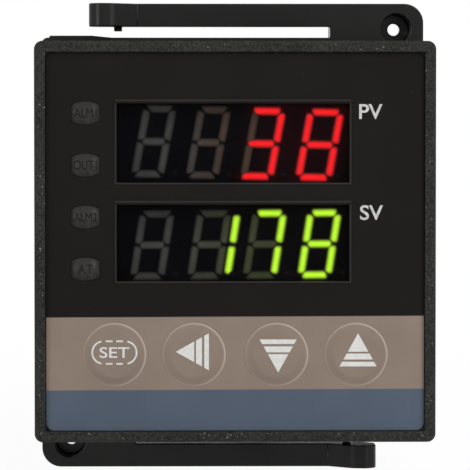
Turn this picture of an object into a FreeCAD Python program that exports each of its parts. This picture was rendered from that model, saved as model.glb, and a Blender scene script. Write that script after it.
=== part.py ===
import FreeCAD, Part
import math
import os
import re

import Sketcher

# A panel-mounted temperature controller of the 48 x 48 mm panel size.
#
# Millimetres. Facing the display, +X is to the right, +Y goes into the panel and +Z is up.
# The origin is the centre of the panel cut-out, in the plane where the bezel meets the panel,
# so the bezel stands in front of it at negative Y and the case reaches back along +Y.

V = FreeCAD.Vector

# ------------------------------------------------------------------------------------------
# Driving dimensions: name, value, what it is
# ------------------------------------------------------------------------------------------

SIZES = [
    # bezel
    ("bezel_side", 48.0, "side of the square bezel"),
    ("bezel_depth", 10.0, "bezel front to panel"),
    ("bezel_corner", 1.0, "radius of the bezel's corners"),
    ("bezel_chamfer", 0.35, "bezel's front edge"),
    ("rim_width", 1.3, "rim around the overlay's seat"),
    ("rim_height", 0.8, "height of the rim over the overlay's seat"),
    ("plate_thickness", 1.8, "front plate behind the overlay"),
    ("snap_width", 6.0, "width of the lug that holds the case"),
    ("snap_height", 0.8, "how far the lug reaches into the case wall"),
    ("snap_depth", 1.6, "length of the lug along the case"),
    ("snap_lead", 0.55, "flat of the lug before its slope"),
    ("snap_y", 3.4, "from the panel plane forward to the lug"),
    ("snap_gap", 0.25, "clearance of the lug in its window"),
    # overlay and windows
    ("overlay_thickness", 0.3, "printed sheet on the bezel"),
    ("overlay_gap", 0.1, "between the sheet and the rim"),
    ("overlay_corner", 0.9, "corner radius of the sheet"),
    ("window_left", 9.8, "bezel's left side to the display windows"),
    ("window_right", 10.3, "display windows to the bezel's right side"),
    ("upper_window_height", 9.5, "process value window"),
    ("lower_window_height", 9.2, "set value window"),
    ("lower_window_drop", 0.15, "set value window's centre below the bezel's"),
    ("window_bar", 2.6, "bar between the two windows"),
    ("frame_width", 0.18, "raised frame embossed round a window"),
    ("frame_top", 0.45, "raised frame above a window"),
    ("frame_height", 0.12, "raised frame over the sheet"),
    ("pane_margin", 0.6, "how far a pane reaches past its window"),
    ("pane_thickness", 1.0, "smoked pane"),
    ("pane_gap", 0.05, "pane in its pocket"),
    # seven-segment displays
    ("display_side_margin", 1.1, "display housing past its window at the sides"),
    ("display_end_margin", 1.05, "display housing past the taller window, top and bottom"),
    ("display_depth", 6.5, "display housing"),
    ("display_gap", 0.1, "between the panes and the displays"),
    ("display_shift", 0.25, "display's centre from the bezel's"),
    ("display_drop", 0.2, "display's centre below its window's"),
    ("display_rim", 0.7, "rim round the tray that holds a display's bars"),
    ("digit_right", 5.25, "centre of the last digit to the display's right side"),
    ("upper_digit_left", 5.21, "display's left side to the first digit, process value"),
    ("lower_digit_left", 4.85, "display's left side to the first digit, set value"),
    ("upper_digit_margin", 0.6, "process value digits lower than their window"),
    ("lower_digit_margin", 0.7, "set value digits lower than their window"),
    ("digit_space", 2.08, "between two digits of the process value"),
    ("digit_slant", 9.5, "degrees from upright"),
    ("segment_width", 1.05, "one bar of a digit"),
    ("segment_gap", 0.1, "from a bar's point to the corner it shares"),
    ("segment_depth", 0.5, "depth of a bar in the housing"),
    ("dot_radius", 0.4, "decimal point"),
    ("dot_shift", 0.75, "decimal point from its digit's side"),
    # indicator lamps
    ("lamp_width", 3.5, "lamp window"),
    ("lamp_side", 1.93, "straight side of the lamp window"),
    ("lamp_bulge", 0.47, "rise of its curved top and bottom"),
    ("lamp_space", 1.95, "from the display windows left to the lamps"),
    ("lamp_top_z", 15.4, "highest lamp"),
    ("lamp_pitch", 6.22, "lamp to lamp"),
    ("guide_gap", 0.05, "light guide in its window"),
    ("guide_lip", 0.5, "light guide's lip past the window"),
    ("guide_lip_depth", 0.8, "thickness of the lip"),
    ("guide_stem", 2.2, "side of the stem behind the lip"),
    ("led_side", 2.0, "indicator LED"),
    ("led_height", 0.9, "indicator LED"),
    ("led_gap", 0.3, "between an LED and its light guide"),
    # keys
    ("key_radius", 3.75, "embossed key"),
    ("key_gap", 0.1, "key in the overlay and in its well"),
    ("key_side", 9.55, "outer keys to the bezel's side"),
    ("key_spread", 0.13, "inner keys further out than evenly spaced"),
    ("key_drop", 13.5, "keys below the centre"),
    ("key_rise", 0.35, "crown of the key over the sheet"),
    ("key_slope", 0.55, "width of the embossed slope"),
    ("key_inset", 0.15, "key's back in front of the plate"),
    ("key_travel", 0.25, "full stroke"),
    ("key_stop_gap", 0.05, "left under the key at full stroke"),
    ("plunger_radius", 1.7, "switch plunger"),
    ("plunger_gap", 0.15, "plunger in the plate and the switch"),
    ("switch_side", 6.2, "tactile switch"),
    ("switch_height", 3.5, "tactile switch"),
    ("switch_lid", 0.4, "metal lid of the switch, a step smaller"),
    ("switch_grip", 0.7, "how far the plunger reaches into the switch"),
    # boards
    ("board_thickness", 1.6, "printed circuit boards"),
    ("board_gap", 0.2, "display board in the case"),
    ("side_board_wall", 2.0, "upright boards to the case's side walls"),
    ("side_board_gap", 0.3, "upright boards to the case above and below"),
    ("side_board_start", 0.4, "display board to the upright boards"),
    ("side_board_end", 2.0, "upright boards to the terminal block's plug"),
    ("header_side", 2.54, "board-to-board header"),
    ("header_length", 32.0, "board-to-board header"),
    # case
    ("case_step", 1.6, "bezel's side to the case's side"),
    ("case_wall", 1.8, "case wall"),
    ("case_corner", 0.8, "case corner radius"),
    ("case_inner_corner", 0.5, "corner radius inside the case"),
    ("case_gap", 0.1, "case in the bezel"),
    ("case_front_gap", 1.4, "case front to the bezel's plate"),
    ("case_back", 90.0, "panel plane to the back of the case"),
    ("rib_height", 0.9, "board guide rib"),
    ("rib_thickness", 1.0, "board guide rib"),
    ("rib_gap", 0.15, "board between its ribs"),
    ("rack_width", 9.0, "ratchet rack on each side of the case"),
    ("rack_start", 5.0, "panel plane to the first notch"),
    ("rack_pitch", 2.0, "notch to notch"),
    ("rack_land", 0.5, "flat between two notches"),
    ("rack_count", 28, "notches"),
    ("rack_depth", 0.5, "notch depth"),
    ("vent_width", 1.5, "vent slot across the air's way"),
    ("vent_length", 13.0, "vent slot"),
    ("vent_bridge", 3.0, "between the two rows of slots"),
    ("vent_pitch", 3.4, "slot to slot"),
    ("vent_count", 6, "slots in a row"),
    ("vent_start", 65.0, "panel plane to the first slot"),
    # terminal block
    ("block_depth", 10.0, "terminal block behind the case"),
    ("plug_depth", 4.0, "part of the block inside the case"),
    ("plug_gap", 0.1, "block in the case"),
    ("block_end_wall", 2.0, "above the top bay and below the bottom one"),
    ("bay_count", 6, "terminals in a column"),
    ("bay_depth", 5.5, "terminal bay"),
    ("barrier", 1.2, "wall between two bays"),
    ("bay_reach", 11.2, "terminal bay from the block's side inwards"),
    ("tab_thickness", 0.8, "terminal plate"),
    ("tab_margin", 0.4, "terminal plate to the bay's walls"),
    ("tab_overhang", 1.0, "terminal plate to the block's side"),
    ("blade_width", 3.0, "blade from a terminal to its board"),
    ("blade_reach", 6.0, "blade in front of the plug"),
    ("blade_gap", 0.1, "blade in its slot"),
    ("washer_margin", 0.4, "square pressure plate to the bay's walls"),
    ("washer_thickness", 0.7, "square pressure plate"),
    ("screw_side", 6.4, "terminal screws to the block's side"),
    ("screw_head_gap", 0.5, "terminal screw's head to the bay's walls"),
    ("screw_head_height", 2.0, "terminal screw"),
    ("screw_land", 0.9, "pressure plate on each side of its screw's hole"),
    ("screw_length", 8.0, "terminal screw"),
    ("screw_gap", 0.1, "terminal screw in its holes"),
    ("slot_width", 0.8, "screw slot"),
    ("slot_end", 0.5, "screw slot to the head's rim"),
    ("slot_depth", 1.1, "screw slot"),
    # mounting bracket
    ("bracket_y", 12.0, "panel plane to the bracket's ring as delivered"),
    ("bracket_depth", 5.5, "ring along the case"),
    ("bracket_gap", 0.2, "ring around the case"),
    ("ring_side_wall", 1.4, "ring beside the case"),
    ("ring_end_wall", 2.3, "ring above and below the case"),
    ("ring_corner", 0.8, "outer corners of the ring without an ear"),
    ("arm_slot", 1.36, "between the ring and its spring arm"),
    ("arm_width", 2.9, "spring arm, seen from the front"),
    ("arm_thickness", 1.8, "spring arm along the case"),
    ("arm_end", 6.0, "free end of the arm short of the ring's side"),
    ("foot_height", 3.0, "foot in front of the ring"),
    ("foot_length", 6.0, "from where the arm curls forward to its end"),
    ("foot_knee", 3.1, "top of the ramp to the arm's end"),
    ("foot_knee_drop", 0.4, "knee behind the foot's crown"),
    ("foot_crown", 1.3, "foremost line of the foot to the arm's end"),
    ("foot_tip_drop", 1.0, "tip behind the foot's crown"),
    ("nib_end", 3.1, "nib under the arm to the arm's end"),
    ("nib_width", 1.0, "nib under the arm"),
    ("nib_height", 0.55, "nib under the arm"),
    ("stop_rise", 0.25, "raised stop on the ring under the foot"),
    ("stop_slope", 2.5, "length of the stop's slope"),
    ("stop_flat", 6.3, "start of the stop's flat to the ring's side"),
    ("stop_margin", 0.2, "stop to the ring's rounded corner"),
    ("ear_length", 11.76, "ear along the ring's end"),
    ("ear_corner", 2.4, "ear's corner radius"),
    ("ear_hole_side", 3.5, "screw hole to the ring's side"),
    ("ear_hole_rise", 1.1, "screw hole above the ring"),
    ("ear_hole_radius", 0.76, "screw hole"),
    ("ear_recess_radius", 1.9, "recess round the screw hole"),
    ("ear_recess_depth", 4.0, "recess round the screw hole"),
    ("pawl_thickness", 1.1, "ratchet tongue"),
    ("pawl_margin", 0.3, "ratchet tongue narrower than the rack, each side"),
    ("pawl_length", 9.0, "ratchet tongue behind the ring"),
    ("pawl_gap", 0.05, "ratchet teeth to the case"),
    ("pawl_tooth", 0.45, "height of a ratchet tooth"),
    # parts on the upright boards: place along the case, height of the centre, then the size
    ("transformer_y", 40.0, "switching transformer"),
    ("transformer_z", 0.0, "switching transformer"),
    ("transformer_side", 16.0, "switching transformer"),
    ("transformer_height", 13.0, "switching transformer"),
    ("transformer_step", 2.8, "base under the core, and core over the winding"),
    ("winding_side", 11.0, "winding between the core's legs"),
    ("winding_lip", 0.6, "winding to the base's edge"),
    ("capacitor_y", 61.0, "smoothing capacitor"),
    ("capacitor_z", 10.0, "smoothing capacitor"),
    ("capacitor_radius", 5.0, "smoothing capacitor"),
    ("capacitor_height", 14.0, "smoothing capacitor"),
    ("capacitor_chamfer", 0.6, "smoothing capacitor's rim"),
    ("suppressor_y", 61.0, "suppression capacitor"),
    ("suppressor_z", 9.0, "suppression capacitor, below the centre"),
    ("suppressor_length", 13.0, "suppression capacitor"),
    ("suppressor_width", 6.0, "suppression capacitor"),
    ("suppressor_height", 11.0, "suppression capacitor"),
    ("suppressor_chamfer", 0.5, "suppression capacitor"),
    ("varistor_y", 75.0, "varistor"),
    ("varistor_z", 8.0, "varistor, below the centre"),
    ("varistor_radius", 4.5, "varistor disc"),
    ("varistor_thickness", 3.4, "varistor disc"),
    ("varistor_lead", 1.6, "board to the disc's edge"),
    ("varistor_lead_side", 0.7, "varistor lead"),
    ("bridge_y", 75.0, "bridge rectifier"),
    ("bridge_z", 8.0, "bridge rectifier"),
    ("bridge_side", 7.6, "bridge rectifier"),
    ("bridge_height", 3.2, "bridge rectifier"),
    ("bridge_chamfer", 0.5, "bridge rectifier"),
    ("relay_y", 68.0, "relays"),
    ("relay_z", 9.5, "relays from the middle of the board"),
    ("relay_length", 19.0, "relay"),
    ("relay_width", 15.0, "relay"),
    ("relay_height", 13.5, "relay"),
    ("relay_chamfer", 0.7, "relay cover's edges"),
    ("chip_y", 26.0, "microcontroller"),
    ("chip_side", 10.0, "microcontroller"),
    ("chip_height", 1.6, "microcontroller"),
    ("chip_chamfer", 0.3, "microcontroller"),
    ("coupler_y", 44.0, "optocoupler"),
    ("coupler_z", 9.0, "optocoupler, below the centre"),
    ("coupler_length", 6.4, "optocoupler"),
    ("coupler_width", 4.6, "optocoupler"),
    ("coupler_height", 3.4, "optocoupler"),
    ("coupler_chamfer", 0.5, "optocoupler"),
]

# Places worked out from the sizes, each written once.
FORMULAS = {
    "bezel_front": "0 - bezel_depth",
    "case_side": "bezel_side - 2 * case_step",
    "seat_y": "bezel_front + rim_height",
    "seat_side": "bezel_side - 2 * rim_width",
    "plate_back": "seat_y + plate_thickness",
    "overlay_front": "seat_y - overlay_thickness",
    "overlay_side": "seat_side - 2 * overlay_gap",
    "pocket_side": "case_side + 2 * case_gap",
    "window_width": "bezel_side - window_left - window_right",
    "window_x": "(window_left - window_right) / 2",
    "lower_window_z": "0 - lower_window_drop",
    "upper_window_z": "lower_window_z + (lower_window_height + upper_window_height) / 2"
                      " + window_bar",
    "lamp_x": "window_x - window_width / 2 - lamp_space - lamp_width / 2",
    "pane_front": "plate_back - pane_thickness",
    "pane_width": "window_width + 2 * pane_margin",
    "display_width": "window_width + 2 * display_side_margin",
    "display_height": "upper_window_height + 2 * display_end_margin",
    "display_front": "plate_back + display_gap",
    "display_back": "display_front + display_depth",
    "digit_last_x": "display_shift + display_width / 2 - digit_right",
    "upper_digit_pitch": "(display_width - digit_right - upper_digit_left) / 3",
    "lower_digit_pitch": "(display_width - digit_right - lower_digit_left) / 3",
    "upper_digit_height": "upper_window_height - upper_digit_margin",
    "lower_digit_height": "lower_window_height - lower_digit_margin",
    "digit_width": "upper_digit_pitch - digit_space",
    "board_back": "display_back + board_thickness",
    "key_outer_x": "bezel_side / 2 - key_side",
    "key_inner_x": "key_outer_x / 3 + key_spread",
    "key_back": "seat_y - key_inset",
    "key_front": "overlay_front - key_rise",
    "well_floor": "key_back + key_travel + key_stop_gap",
    "switch_front": "display_back - switch_height",
    "plunger_back": "switch_front + switch_grip",
    "socket_floor": "plunger_back + key_travel + key_stop_gap",
    "led_front": "display_back - led_height",
    "guide_back": "led_front - led_gap",
    "case_front": "plate_back + case_front_gap",
    "case_inner": "case_side - 2 * case_wall",
    "plug_front": "case_back - plug_depth",
    "plug_side": "case_inner - 2 * plug_gap",
    "block_back": "case_back + block_depth",
    "bay_floor": "block_back - bay_depth",
    "bay_pitch": "(case_side - 2 * block_end_wall + barrier) / bay_count",
    "bay_width": "bay_pitch - barrier",
    "bay_first": "0 - (bay_count - 1) / 2 * bay_pitch",
    "bay_inner": "case_side / 2 - bay_reach",
    "tab_inner": "bay_inner + tab_margin",
    "tab_outer": "case_side / 2 - tab_overhang",
    "tab_top": "bay_floor + tab_thickness",
    "washer_top": "tab_top + washer_thickness",
    "washer_side": "bay_width - 2 * washer_margin",
    "screw_x": "case_side / 2 - screw_side",
    "screw_radius": "washer_side / 2 - screw_land - screw_gap",
    "screw_head_radius": "bay_width / 2 - screw_head_gap",
    "screw_end": "washer_top - screw_length",
    "screw_top": "washer_top + screw_head_height",
    "screw_well": "2 * (screw_radius + screw_gap)",
    "side_board_outer": "case_inner / 2 - side_board_wall",
    "side_board_x": "side_board_outer - board_thickness",
    "side_board_front": "board_back + side_board_start",
    "side_board_back": "plug_front - side_board_end",
    "side_board_top": "case_inner / 2 - side_board_gap",
    "blade_inner": "side_board_outer",
    "blade_outer": "side_board_outer + tab_thickness",
    "blade_front": "plug_front - blade_reach",
    "ring_inner": "case_side / 2 + bracket_gap",
    "ring_x": "ring_inner + ring_side_wall",
    "ring_z": "ring_inner + ring_end_wall",
    "arm_root": "ring_x - ear_length",
    "arm_tip": "ring_x - arm_end",
    "foot_ramp": "arm_tip - foot_length",
    "nib_x": "arm_tip - nib_end",
    "stop_end": "ring_x - ring_corner - stop_margin",
    "ear_hole_x": "ring_x - ear_hole_side",
    "ear_hole_z": "ring_z + ear_hole_rise",
    "arm_low": "ring_z + arm_slot",
    "arm_high": "arm_low + arm_width",
    "pawl_inner": "case_side / 2 + pawl_gap + pawl_tooth",
    "pawl_outer": "pawl_inner + pawl_thickness",
    "pawl_back": "bracket_depth + pawl_length",
    "notch_length": "rack_pitch - rack_land",
}

# What each display shows, from left to right, and the bars that each figure lights.
READINGS = {"pv": ("blank", "blank", "three", "eight"), "sv": ("blank", "one", "seven", "eight")}
LIT_BARS = {"blank": "", "one": "bc", "three": "abcdg", "seven": "abc", "eight": "abcdefg"}
ROWS = {"pv": "upper", "sv": "lower"}
SAME = 1e-3  # two places closer than this are one

doc = FreeCAD.newDocument("temperature_controller")
sheet = doc.addObject("Spreadsheet::Sheet", "Sizes")
for row, (alias, size, note) in enumerate(SIZES, start=1):
    sheet.set(f"A{row}", alias)
    sheet.set(f"B{row}", str(size))
    sheet.set(f"C{row}", note)
    sheet.setAlias(f"B{row}", alias)
doc.recompute()

ALIASES = {alias for alias, _, _ in SIZES}
WORD = re.compile(r"[a-z]+(?:_[a-z]+)*")


def spelled_out(formula, owner=""):
    """The formula with places replaced by their own formulas, and sizes by the sheet's cells."""

    def swap(found):
        word = found.group()
        if word in FORMULAS:
            return f"({spelled_out(FORMULAS[word], owner)})"
        return owner + word if word in ALIASES else word

    return WORD.sub(swap, formula)


def value(formula):
    """What the formula comes to with the sheet's present sizes."""
    return float(sheet.evalExpression(spelled_out(formula)))


def bind(thing, prop, formula):
    """Tie a property to the sheet."""
    thing.setExpression(prop, spelled_out(formula, "Sizes."))


def place(thing, x="0", y="0", z="0"):
    """Tie an object's place to the sheet."""
    for axis, formula in zip("xyz", (x, y, z)):
        bind(thing, f"Placement.Base.{axis}", formula)


# ------------------------------------------------------------------------------------------
# Sketches and PartDesign features
# ------------------------------------------------------------------------------------------

class Profile:
    """A sketch whose every size is tied to the sheet."""

    def __init__(self, sketch):
        self.sketch = sketch

    def measure(self, kind, *where, formula):
        """Add one constraint that takes its value from the sheet."""
        index = self.sketch.addConstraint(Sketcher.Constraint(kind, *where, value(formula)))
        bind(self.sketch, f"Constraints[{index}]", formula)

    def pin_down(self, curve, end, x, y):
        """Hold one point of a curve at a place; a plain 0 holds it on the sketch's axis."""
        for kind, formula, axis in (("DistanceX", x, -2), ("DistanceY", y, -1)):
            if formula == "0":
                self.sketch.addConstraint(Sketcher.Constraint("PointOnObject", curve, end, axis))
            else:
                self.measure(kind, -1, 1, curve, end, formula=formula)

    def circle(self, x, y, radius):
        """A circle by its centre and radius."""
        circle = Part.Circle(V(value(x), value(y), 0), V(0, 0, 1), value(radius))
        curve = self.sketch.addGeometry(circle, False)
        self.measure("Radius", curve, formula=radius)
        self.pin_down(curve, 3, x, y)

    def outline(self, corners, arcs=None):
        """A closed outline. arcs gives, by corner number, the radius of the curved side that
        leaves that corner; such a side bulges to its right, which is outwards on an outline
        that runs anticlockwise."""
        arcs = arcs or {}
        points = [V(value(x), value(y), 0) for x, y in corners]
        ends = []
        for i, start in enumerate(points):
            stop = points[(i + 1) % len(points)]
            if i in arcs:
                curve = self.sketch.addGeometry(bulged(start, stop, value(arcs[i])), False)
                starts_here = self.sketch.getPoint(curve, 1).distanceToPoint(start) < SAME
                ends.append((curve, 1, 2) if starts_here else (curve, 2, 1))
            else:
                curve = self.sketch.addGeometry(Part.LineSegment(start, stop), False)
                ends.append((curve, 1, 2))
        for i, (curve, _, last) in enumerate(ends):
            following, first, _ = ends[(i + 1) % len(ends)]
            joint = Sketcher.Constraint("Coincident", curve, last, following, first)
            self.sketch.addConstraint(joint)
        for i, (x, y) in enumerate(corners):
            self.pin_down(ends[i][0], ends[i][1], x, y)
            if i in arcs:
                self.measure("Radius", ends[i][0], formula=arcs[i])

    def box(self, left, right, low, high):
        """A rectangle by its sides."""
        self.outline([(left, low), (right, low), (right, high), (left, high)])

    def centred_box(self, x, y, width, height):
        """A rectangle by its middle."""
        self.box(
            f"{x} - ({width}) / 2", f"{x} + ({width}) / 2",
            f"{y} - ({height}) / 2", f"{y} + ({height}) / 2",
        )

    def rounded_square(self, side, corner):
        """A square about the origin with rounded corners."""
        half, inner = f"({side}) / 2", f"({side}) / 2 - {corner}"
        corners = [
            (f"0 - ({inner})", f"0 - ({half})"), (inner, f"0 - ({half})"),
            (half, f"0 - ({inner})"), (half, inner),
            (inner, half), (f"0 - ({inner})", half),
            (f"0 - ({half})", inner), (f"0 - ({half})", f"0 - ({inner})"),
        ]
        self.outline(corners, arcs={i: corner for i in (1, 3, 5, 7)})

    def barrel(self, x, y, width, side):
        """An upright barrel: straight sides, bulging top and bottom."""
        left, right = f"{x} - ({width}) / 2", f"{x} + ({width}) / 2"
        low, high = f"{y} - ({side}) / 2", f"{y} + ({side}) / 2"
        radius = f"(({width}) * ({width}) / 4 + lamp_bulge * lamp_bulge) / (2 * lamp_bulge)"
        corners = [(left, low), (right, low), (right, high), (left, high)]
        self.outline(corners, arcs={0: radius, 2: radius})


def bulged(start, stop, radius):
    """The shorter arc of a radius between two points, on the right of the way between them."""
    chord = stop - start
    outward = V(chord.y, -chord.x, 0).normalize()
    middle = (start + stop) * 0.5
    centre = middle - outward * math.sqrt(max(radius**2 - (chord.Length / 2) ** 2, 0.0))
    return Part.Arc(start, centre + outward * radius, stop)


def origin_feature(body, role):
    """One of a body's own origin planes or axes."""
    return next(item for item in body.Origin.OriginFeatures if item.Role == role)


def new_body(node, x="0", y="0", z="0"):
    """An empty body; its features may be separate solids, as in a set of screws."""
    body = doc.addObject("PartDesign::Body", node)
    body.Label = node
    body.AllowCompound = True
    place(body, x, y, z)
    return body


def new_sketch(body, name, plane, offset, draw):
    """A sketch on an origin plane, moved along the plane's normal."""
    sketch = body.newObject("Sketcher::SketchObject", name + "_sketch")
    sketch.AttachmentSupport = [(origin_feature(body, plane), "")]
    sketch.MapMode = "FlatFace"
    bind(sketch, "AttachmentOffset.Base.z", offset)
    draw(Profile(sketch))
    return sketch


def extrude(kind, body, name, plane, low, high, draw):
    """A pad or a pocket that fills a profile from low to high along the axis across the plane."""
    ends = [low, high]
    if plane == "XZ_Plane":  # its normal points along -Y
        ends = [f"0 - ({high})", f"0 - ({low})"]
    start = ends[0] if kind == "Pad" else ends[1]  # a pocket cuts against the normal
    sketch = new_sketch(body, name, plane, start, draw)
    feature = body.newObject("PartDesign::" + kind, name)
    feature.Profile = sketch
    feature.AllowMultiFace = True
    bind(feature, "Length", f"({high}) - ({low})")
    body.Tip = feature
    return feature


def pad(body, name, plane, low, high, draw):
    """Material added from low to high."""
    return extrude("Pad", body, name, plane, low, high, draw)


def pocket(body, name, plane, low, high, draw):
    """Material removed from low to high."""
    return extrude("Pocket", body, name, plane, low, high, draw)


def in_a_row(body, name, features, axis, pitch, count):
    """Repeat features along an axis."""
    pattern = body.newObject("PartDesign::LinearPattern", name)
    pattern.Originals = features
    pattern.Direction = (origin_feature(body, axis), [""])
    pattern.Mode = "Spacing"
    bind(pattern, "Offset", pitch)
    bind(pattern, "Occurrences", count)
    body.Tip = pattern
    return pattern


def turned_about(body, name, features):
    """Repeat features half a turn on about the Y axis."""
    pattern = body.newObject("PartDesign::PolarPattern", name)
    pattern.Originals = features
    pattern.Axis = (origin_feature(body, "Y_Axis"), [""])
    pattern.Angle = 360
    pattern.Occurrences = 2
    body.Tip = pattern
    return pattern


def ease_edges(kind, body, name, chosen, size):
    """Fillet or chamfer the edges of the body's last feature that a test picks."""
    doc.recompute()
    base = body.Tip
    edges = [f"Edge{i}" for i, edge in enumerate(base.Shape.Edges, start=1) if chosen(edge)]
    if not edges:
        raise RuntimeError(f"{name}: no edge to ease")
    feature = body.newObject("PartDesign::" + kind, name)
    feature.Base = (base, edges)
    bind(feature, "Radius" if kind == "Fillet" else "Size", size)
    body.Tip = feature
    return feature


def near(a, b):
    """Equal for all purposes here."""
    return abs(a - b) < SAME


def lies_at(axis, place_on_axis):
    """A test for edges that lie in the plane across an axis at a place."""
    at = value(place_on_axis)

    def chosen(edge):
        box = edge.BoundBox
        return near(getattr(box, axis + "Min"), at) and near(getattr(box, axis + "Max"), at)

    return chosen


def runs_through(x, z):
    """A test for edges along Y through one of the four points at x and z of either sign."""
    at = value(x), value(z)

    def chosen(edge):
        box = edge.BoundBox
        middle = box.Center
        straight = box.XLength < SAME and box.ZLength < SAME
        return straight and near(abs(middle.x), at[0]) and near(abs(middle.z), at[1])

    return chosen


# ------------------------------------------------------------------------------------------
# Part primitives
# ------------------------------------------------------------------------------------------

def block(name, x, y, z):
    """A box between two places along each axis."""
    box = doc.addObject("Part::Box", name)
    for prop, axis, (low, high) in zip(("Length", "Width", "Height"), "xyz", (x, y, z)):
        bind(box, f"Placement.Base.{axis}", low)
        bind(box, prop, f"({high}) - ({low})")
    return box


def rod(name, centre, radius, low, high):
    """A cylinder along Y; centre gives its x and z."""
    cylinder = doc.addObject("Part::Cylinder", name)
    bind(cylinder, "Radius", radius)
    bind(cylinder, "Height", f"({high}) - ({low})")
    cylinder.Placement.Rotation = FreeCAD.Rotation(V(1, 0, 0), -90)
    place(cylinder, centre[0], low, centre[1])
    return cylinder


def fused(name, parts):
    """One solid of several that meet."""
    fusion = doc.addObject("Part::MultiFuse", name)
    fusion.Label = name
    fusion.Shapes = parts
    return fusion


def grouped(name, parts):
    """Several separate solids under one name."""
    group = doc.addObject("Part::Compound", name)
    group.Label = name
    group.Links = parts
    return group


# ------------------------------------------------------------------------------------------
# Where what repeats goes
# ------------------------------------------------------------------------------------------

WINDOW_Z = {name: f"{row}_window_z" for name, row in ROWS.items()}
WINDOW_HEIGHT = {name: f"{row}_window_height" for name, row in ROWS.items()}
KEY_X = {
    "set": "0 - key_outer_x",
    "shift": "0 - key_inner_x",
    "down": "key_inner_x",
    "up": "key_outer_x",
}
KEY_Z = "0 - key_drop"
LAMP_NAMES = ("alarm_one", "output_one", "alarm_two", "autotune")
LAMP_Z = {name: f"lamp_top_z - {i} * lamp_pitch" for i, name in enumerate(LAMP_NAMES)}
SIDES = ("", "0 - ")  # right, then left: put before a place on the right


# ------------------------------------------------------------------------------------------
# Front: bezel, overlay, panes, keys, light guides
# ------------------------------------------------------------------------------------------

def front_bezel():
    """A moulded square frame whose plate carries the overlay in front and the panes behind."""
    body = new_body("front_bezel")

    def windows(margin):
        def draw(profile):
            for name, z in WINDOW_Z.items():
                profile.centred_box("window_x", z, f"window_width + 2 * ({margin})",
                                    f"{WINDOW_HEIGHT[name]} + 2 * ({margin})")

        return draw

    def key_wells(profile):
        for x in KEY_X.values():
            profile.circle(x, KEY_Z, "key_radius + key_gap")

    def plunger_holes(profile):
        side = "2 * (plunger_radius + plunger_gap)"
        for x in KEY_X.values():
            profile.centred_box(x, KEY_Z, side, side)

    def lugs(profile):
        wall, tip = "pocket_side / 2", "pocket_side / 2 - snap_height"
        for side in SIDES:
            profile.outline([
                (f"{side}({wall})", "0 - snap_y"),
                (f"{side}({tip})", "0 - snap_y"),
                (f"{side}({tip})", "0 - snap_y + snap_lead"),
                (f"{side}({wall})", "0 - snap_y + snap_depth"),
            ])

    pad(body, "bezel_frame", "XZ_Plane", "bezel_front", "0",
        lambda profile: profile.rounded_square("bezel_side", "bezel_corner"))
    ease_edges("Chamfer", body, "bezel_front_edge", lies_at("Y", "bezel_front"), "bezel_chamfer")
    pocket(body, "overlay_seat", "XZ_Plane", "bezel_front", "seat_y",
           lambda profile: profile.centred_box("0", "0", "seat_side", "seat_side"))
    pocket(body, "case_socket", "XZ_Plane", "plate_back", "0",
           lambda profile: profile.rounded_square("pocket_side", "case_corner + case_gap"))
    pocket(body, "bezel_windows", "XZ_Plane", "seat_y", "plate_back", windows("0"))
    pocket(body, "pane_seats", "XZ_Plane", "pane_front", "plate_back",
           windows("pane_margin + pane_gap"))
    pocket(body, "key_wells", "XZ_Plane", "seat_y", "well_floor", key_wells)
    pocket(body, "plunger_holes", "XZ_Plane", "well_floor", "plate_back", plunger_holes)
    lamp = pocket(body, "bezel_lamp_window", "XZ_Plane", "seat_y", "plate_back",
                  lambda profile: profile.centred_box("lamp_x", LAMP_Z["autotune"], "lamp_width",
                                                      "lamp_side + 2 * lamp_bulge"))
    in_a_row(body, "bezel_lamp_windows", [lamp], "Z_Axis", "lamp_pitch", str(len(LAMP_NAMES)))
    pad(body, "case_lugs", "XY_Plane", "0 - snap_width / 2", "snap_width / 2", lugs)
    return body


def front_overlay():
    """The printed sheet, with raised frames round the windows and holes for what shows."""
    body = new_body("front_overlay")

    def boxes(side, top):
        def draw(profile):
            for name, z in WINDOW_Z.items():
                profile.box(
                    f"window_x - window_width / 2 - {side}", f"window_x + window_width / 2 + {side}",
                    f"{z} - {WINDOW_HEIGHT[name]} / 2 - {side}",
                    f"{z} + {WINDOW_HEIGHT[name]} / 2 + {top}",
                )

        return draw

    def keys(profile):
        for x in KEY_X.values():
            profile.circle(x, KEY_Z, "key_radius + key_gap")

    pad(body, "overlay_sheet", "XZ_Plane", "overlay_front", "seat_y",
        lambda profile: profile.rounded_square("overlay_side", "overlay_corner"))
    pad(body, "overlay_frames", "XZ_Plane", "overlay_front - frame_height", "overlay_front",
        boxes("frame_width", "frame_top"))
    pocket(body, "overlay_windows", "XZ_Plane", "overlay_front - frame_height", "seat_y",
           boxes("0", "0"))
    pocket(body, "overlay_key_holes", "XZ_Plane", "overlay_front", "seat_y", keys)
    lamp = pocket(body, "overlay_lamp_window", "XZ_Plane", "overlay_front", "seat_y",
                  lambda profile: profile.barrel("lamp_x", LAMP_Z["autotune"],
                                                 "lamp_width", "lamp_side"))
    in_a_row(body, "overlay_lamp_windows", [lamp], "Z_Axis", "lamp_pitch",
             str(len(LAMP_NAMES)))
    return body


def window_pane(name):
    """A smoked pane in its seat behind one window."""
    body = new_body(f"{name}_filter")
    pad(body, f"{name}_pane", "XZ_Plane", "pane_front", "plate_back",
        lambda profile: profile.centred_box("window_x", WINDOW_Z[name], "pane_width",
                                            f"{WINDOW_HEIGHT[name]} + 2 * pane_margin"))
    return body


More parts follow.
